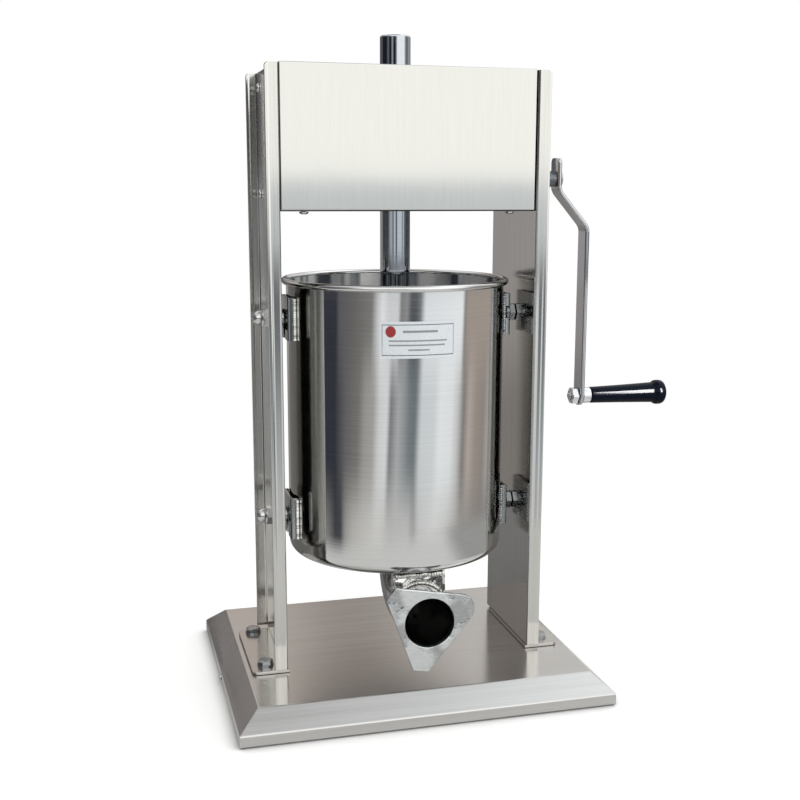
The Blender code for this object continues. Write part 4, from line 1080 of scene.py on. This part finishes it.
def bracket_pieces():
    """The U brackets on the vessel's sides, and the weld beads that hold them."""
    sheet, slot = 2.5, 5.6
    for side, name in SIDES:
        for height in "lu":
            key = height + name[0]
            node = f"bracket_{key}"
            low, high = span_of(node)
            near, far = ends_of(node, side)
            middle = (low.z + high.z) / 2

            def at(depth):
                """A distance in from the bracket's outer face."""
                return far - side * depth

            corners = [(near, low.y, 0.3), (far, low.y, 2.2), (far, high.y, 2.2), (at(5.0), high.y, 0.3)]
            corners += [(at(5.0), high.y - sheet, 0.3), (at(sheet), high.y - sheet, 0.6)]
            corners += [(at(sheet), low.y + sheet, 0.6), (near, low.y + sheet, 0.3)]
            post_y = middle_of(f"post_{key}", "x")[0]
            left, right = sorted((at(3.5), at(-5.0)))
            tools = [block((left, post_y - slot, middle - 30.0), (right, post_y + slot, middle + slot))]
            if height == "u":
                tools.append(block((left, low.y + sheet, middle - 11.0), (right, post_y + 8.0, middle + 8.5)))
                if side > 0:
                    tools.append(block((at(4.9), low.y - 5, middle - 4.0), (right, low.y + 5, middle + 8.5)))
            bracket = eased(carved(prism(rounded(corners, 3), "z", low.z, high.z), *tools), 0.25, 50.0)
            make(f"u_bracket_{key}", bracket, "bracket", "vessel", [node])

            def upright_bead(x, y, *shape):
                return bead([(x, y, low.z + 0.5), (x, y, high.z - 0.5)], *shape)

            front = upright_bead(near + side * 0.4, low.y - 0.4, 2.5 if side < 0 else 1.6, 2.2, 3)
            back = upright_bead(at(5.6), high.y - 1.0, 1.5, 1.7, 5)
            # The right-hand beads take the darker steel as painted shade; the left-hand ones keep the weld
            # metal
            paint = "weld" if side < 0 else "painted_shade"
            make(f"bracket_weld_{key}", joined(front, back), paint, "vessel")


def outlet_pieces():
    """The elbow, the three-cornered flange, the stay plate behind it and the weld beads."""
    low, high = span_of("outlet_elbow")
    outer = (high.x - low.x) / 2
    bore = outer - ELBOW_WALL
    centre_x, centre_z = (low.x + high.x) / 2, low.z + outer
    drop_y = high.y - outer
    plate_low, plate_high = span_of("outlet_flange")
    stay_low, stay_high = span_of("outlet_saddle")
    elbow = elbow_tube(centre_x, outer, bore, (drop_y, high.z), (low.y, centre_z))
    make("elbow_tube", elbow, "elbow", "vessel", ["outlet_elbow"])

    plate = prism(flange_outline(centre_x, centre_z), "y", plate_low.y, plate_high.y)
    hole = drill(bore, plate_low.y - 5, plate_high.y + 5, "y", (centre_x, centre_z), 96)
    plate = eased(carved(plate, hole), 1.1, 40.0, 3)
    make("flange_plate", plate, "ground", "vessel", ["outlet_flange"])

    columns, rows = 30, 16
    front, back = [], []
    for row in range(rows + 1):
        front.append([])
        back.append([])
        for column in range(columns + 1):
            x = stay_low.x + (stay_high.x - stay_low.x) * column / columns
            over = math.sqrt(max(0.0, (outer + GAP) ** 2 - (x - centre_x) ** 2))
            foot = max(stay_low.z, centre_z + over)
            z = foot + (stay_high.z - foot) * row / rows
            dent = noise.noise(Vector((x * 0.09, z * 0.13, 1.7))) * 1.5
            dent += noise.noise(Vector((x * 0.22, z * 0.30, 4.1))) * 0.5
            front[-1].append((x, stay_low.y + 1.2 + max(-1.1, dent), z))
            back[-1].append((x, stay_high.y, z))
    make("stay_plate", slab(front, back), "stay", "vessel", ["outlet_saddle"], 60.0)

    top, weld_y = stay_high.z - 3.0, stay_low.y - 0.4
    seam = [(x, weld_y, top - 0.5 * math.sin(x * 0.4)) for x in spread(low.x + 2, high.x - 2, 9)]
    beads = [
        bead(seam, 2.5, 2.6, 7),
        ring_bead((centre_x, stay_low.y + 0.2, centre_z), outer + 1.3, "y", (38.0, 142.0), 1.7, 2.3, 9),
        ring_bead((centre_x, plate_high.y + 0.9, centre_z), outer + 0.5, "y", (0.0, 360.0), 1.3, 2.2, 11),
        ring_bead((centre_x, drop_y, high.z - 0.9), outer + 0.5, "z", (0.0, 360.0), 1.3, 2.2, 13),
    ]
    make("outlet_welds", joined(*beads), "weld", "vessel")


def elbow_tube(centre_x, outer, bore, top, mouth):
    """A bent tube from its top (y, z), straight down and round to its mouth (y, z)."""
    bend, segments = 38.0, 72
    path = [(top, 0.0)]
    for turn in quarter(24):
        path.append(((top[0] - bend + bend * math.cos(turn), mouth[1] + bend - bend * math.sin(turn)), turn))
    path.append((mouth, math.pi / 2))
    points, faces = [], []
    for radius in (outer, bore):
        for (y, z), turn in path:
            for i in range(segments):
                angle = 2 * math.pi * i / segments
                across, up = radius * math.cos(angle), radius * math.sin(angle)
                points.append((centre_x + across, y + up * math.cos(turn), z - up * math.sin(turn)))
    count = len(path)
    for wall in (0, count):
        for ring in range(wall, wall + count - 1):
            faces += strip(ring * segments, (ring + 1) * segments, segments)
    for end in (0, count - 1):
        faces += strip(end * segments, (end + count) * segments, segments)
    return shape_from(points, faces)


def spread(first, last, count):
    return [first + (last - first) * i / (count - 1) for i in range(count)]


def ring_bead(centre, radius, axis, degrees, width, pitch, seed):
    """A weld bead along an arc round an axis; 0 degrees is +X, and 90 is the next axis up."""
    path = []
    for turn in spread(math.radians(degrees[0]), math.radians(degrees[1]), 40):
        across, up = radius * math.cos(turn), radius * math.sin(turn)
        if axis == "y":
            path.append((centre[0] + across, centre[1], centre[2] + up))
        else:
            path.append((centre[0] + across, centre[1] + up, centre[2]))
    return bead(path, width, pitch, seed)


def slab(front, back):
    """A closed sheet between two grids of points."""
    rows, columns = len(front), len(front[0])
    points = [point for grid in (front, back) for row in grid for point in row]
    total = rows * columns
    faces = []
    for r in range(rows - 1):
        for c in range(columns - 1):
            k = r * columns + c
            faces.append((k, k + 1, k + columns + 1, k + columns))
            faces.append((total + k, total + k + columns, total + k + columns + 1, total + k + 1))
    rim = list(range(columns)) + [r * columns + columns - 1 for r in range(1, rows)]
    rim += [(rows - 1) * columns + c for c in range(columns - 2, -1, -1)]
    rim += [r * columns for r in range(rows - 2, 0, -1)]
    for one, other in zip(rim, rim[1:] + rim[:1]):
        faces.append((one, other, total + other, total + one))
    return shape_from(points, faces)


def flange_outline(centre_x, centre_z):
    """Three flat sides and three cut corners, with the corners eased by hand."""
    inner, cuts, first_turn = 31.0, (46.6, 49.5, 48.8), 20.0
    corners = []
    for lobe, cut_out in enumerate(cuts):
        turn = math.radians(first_turn + 120.0 * lobe)
        half = (2 * inner - cut_out) * math.tan(math.radians(30.0))
        for across in (-half, half):
            x = cut_out * math.cos(turn) - across * math.sin(turn)
            z = cut_out * math.sin(turn) + across * math.cos(turn)
            corners.append((centre_x + x, centre_z + z, (14.0, 3.0, 3.6)[lobe]))
    return rounded(corners, 5)


def crank_pieces():
    """The dog-legged bar with rounded ends, and the screw in its hub."""
    low, high = span_of("crank_arm")
    thick, half, corner, round_r = 4.5, 11.0, 5.0, 2.1
    centre_y = (low.y + high.y) / 2
    hub_z, grip_z = high.z - 21.0, low.z + half
    hub_x, arm_x = low.x + thick / 2, high.x - thick / 2
    bends = [(hub_x, hub_z - 11.5, 15.0), (arm_x, hub_z - 49.0, 15.0)]
    line = rounded([(hub_x, high.z, 0.0), *bends, (arm_x, low.z, 0.0)], 8)
    stations = []
    for turn in quarter(6):
        stations.append((hub_x, high.z - corner * (1 - math.cos(turn)), half - corner * (1 - math.sin(turn))))
    stations += [(x, z, half) for x, z in line[1:-1]]
    for turn in reversed(quarter(10)):
        stations.append((arm_x, low.z + half * (1 - math.cos(turn)), max(0.6, half * math.sin(turn))))
    rings = []
    for k, (x, z, width) in enumerate(stations):
        before, after = stations[max(0, k - 1)], stations[min(len(stations) - 1, k + 1)]
        ahead = Vector((after[0] - before[0], after[1] - before[1])).normalized()
        outward = Vector((-ahead.y, ahead.x))
        edge, eased_r = thick / 2, min(round_r, width * 0.8)
        corners = [(-edge, -width), (edge, -width), (edge, width), (-edge, width)]
        section = rounded([(*place, eased_r) for place in corners])
        rings.append([(x + outward.x * u, centre_y + v, z + outward.y * u) for u, v in section])
    square = 5.3
    inside_corner = (low.x - 5, centre_y - square, hub_z - square)
    tenon_hole = block(inside_corner, (low.x + 10, centre_y + square, hub_z + square))
    pin_hole = drill(4.3, arm_x - 8, arm_x + 8, "x", (centre_y, grip_z))
    bar = carved(loft(rings), tenon_hole, pin_hole)
    make("crank_bar", bar, "crank", "crank", ["crank_arm"])

    low, high = span_of("crank_screw")
    out = high.x
    profile = [(0.0, out - 2.9), (2.9, out - 2.9, 2.5), (2.9, out - 0.2, 2.5), (3.3, out), (7.6, out)]
    profile += [(8.6, out - 0.3), (9.3, out - 0.9), (9.5, out - 1.4), (9.5, out - 1.7), (3.6, out - 1.7)]
    screw = turned(profile + [(3.6, low.x), (0.0, low.x)], "x", (centre_y, hub_z), 72)
    make("disc_screw", screw, "fastener", "crank", ["crank_screw"])


def grip_pieces():
    """The nut, the threaded spindle, the collar and the handle that turns on it."""
    low, high = span_of("grip_nut")
    centre = middle_of("grip_nut", "x")
    slim = math.cos(math.pi / 6)
    wide = (high.y - low.y) / 2 * (slim if high.y - low.y > high.z - low.z else 1.0)
    tip, start, end = wide / slim, low.x, high.x
    face = wide * 0.94
    profile = [(4.3, start), (face, start, wide), (tip, start + 0.8, wide), (tip + 1, start + 1.6, wide)]
    profile += [(tip + 1, end - 1.6, wide), (tip, end - 0.8, wide), (face, end, wide), (4.3, end)]
    make("hex_nut", turned(profile, "x", centre, 72), "chrome", "crank", ["grip_nut"])

    low, high = span_of("grip_bolt")
    grip_low, grip_high = span_of("grip")
    start, end = grip_low.x, grip_high.x
    profile = [(0.0, low.x), (2.8, low.x), (3.3, low.x + 0.6)]
    pitch, along = 1.25, low.x + 1.0
    while along < low.x + 24.0:
        profile += [(3.98, along), (3.5, along + pitch / 2)]
        along += pitch
    profile += [(3.98, along + 0.4), (3.98, end + 0.3), (5.0, end + 0.3)]
    profile += [(4.95, end + 1.0), (4.4, high.x - 0.3), (3.2, high.x), (0.0, high.x)]
    make("threaded_pin", turned(profile, "x", centre, 48), "fastener", "crank", ["grip_bolt"])

    low, high = span_of("grip_ferrule")
    out = (high.y - low.y) / 2
    profile = [(4.3, low.x), (out - 1.0, low.x), (out - 0.3, low.x + 0.4), (out, low.x + 1.0)]
    profile += [(out, high.x - 1.0), (out - 0.2, high.x - 0.3), (out - 0.7, high.x), (4.3, high.x)]
    make("grip_collar", turned(profile, "x", centre, 72), "chrome", "crank", ["grip_ferrule"])

    profile = [(4.3, start), (7.4, start), (8.1, start + 0.3), (8.5, start + 1.0)]
    for step in range(17):
        share = step / 16
        bulge = 8.6 + 2.2 * share - 0.15 * math.sin(math.pi * share)
        profile.append((bulge, start + 1.6 + (end - 15.5 - start - 1.6) * share))
    flare = ((11.0, 13.6), (11.6, 12.2), (12.5, 11.2), (13.0, 9.8), (13.2, 8.2), (13.2, 6.0), (13.0, 4.2))
    flare += ((12.4, 2.6), (11.4, 1.3), (10.0, 0.4), (8.6, 0.0), (6.2, 0.0), (5.9, 0.5), (4.3, 0.5))
    profile += [(radius, end - back) for radius, back in flare]
    handle = turned(profile, "x", centre, 96)
    GRIP_LIT.objects.link(make("handle", handle, "black", "grip", ["grip"], 50.0))


def label_pieces():
    """A plain film label with a thin ruled border and blank bars where text would be."""
    low, high = span_of("label_plate")
    centre, radius = vessel_circle()
    middle, half_turn = math.radians(-92.5), math.radians(19.0)
    near, far = radius + 0.26, radius + 0.30

    def patch(left, right, bottom, top, near=near, far=far):
        """A bent strip: left and right are shares of the half width, bottom and top of the height."""
        steps = max(2, round(28 * (right - left) / 2))
        turns = [middle + half_turn * (left + (right - left) * i / steps) for i in range(steps + 1)]
        outline = [(centre[0] + far * math.cos(t), centre[1] + far * math.sin(t)) for t in turns]
        outline += [(centre[0] + near * math.cos(t), centre[1] + near * math.sin(t)) for t in turns[::-1]]
        height = high.z - low.z
        return prism(outline, "z", low.z + height * bottom, low.z + height * top)

    film = patch(-1.0, 1.0, 0.0, 1.0, radius + 0.05, radius + 0.25)
    make("label_film", film, "label", "vessel", ["label_plate"])
    edge, rule, high_rule, foot, head = 0.955, 0.012, 0.022, 0.075, 0.925
    lines = ((-edge, edge, foot, foot + high_rule), (-edge, edge, head - high_rule, head))
    lines += ((-edge, -edge + rule, foot, head), (edge - rule, edge, foot, head))
    bars = ((-0.42, 0.50, 0.70, 0.76), (-0.78, 0.76, 0.46, 0.50), (-0.78, 0.70, 0.34, 0.38))
    bars += ((-0.28, 0.28, 0.21, 0.25),)
    spots = []
    for k in range(12):
        left, right = -0.86 + 0.26 * k / 12, -0.86 + 0.26 * (k + 1) / 12
        reach = 0.155 * math.sqrt(1.0 - ((left + right + 1.46) / 0.26) ** 2)
        spots.append((left, right, 0.73 - reach, 0.73 + reach))
    layers = (("border", "ink", lines), ("bars", "ink_grey", bars), ("disc", "ink_red", spots))
    for name, paint, patches in layers:
        make(f"label_{name}", joined(*(patch(*ends) for ends in patches)), paint, "vessel")


make_camera()
make_world()
make_floor()
GRIP_LIT = make_grip_light()
PAINTS = make_materials()
paint_frame()
base_tray()
foot_pieces()
upright_pieces()
screw_pieces()
post_pieces()
cover_piece()
rod_piece()
vessel_pieces()
label_pieces()
bracket_pieces()
outlet_pieces()
crank_pieces()
grip_pieces()
bpy.context.scene.view_settings.view_transform = "Standard"
bpy.context.view_layer.update()
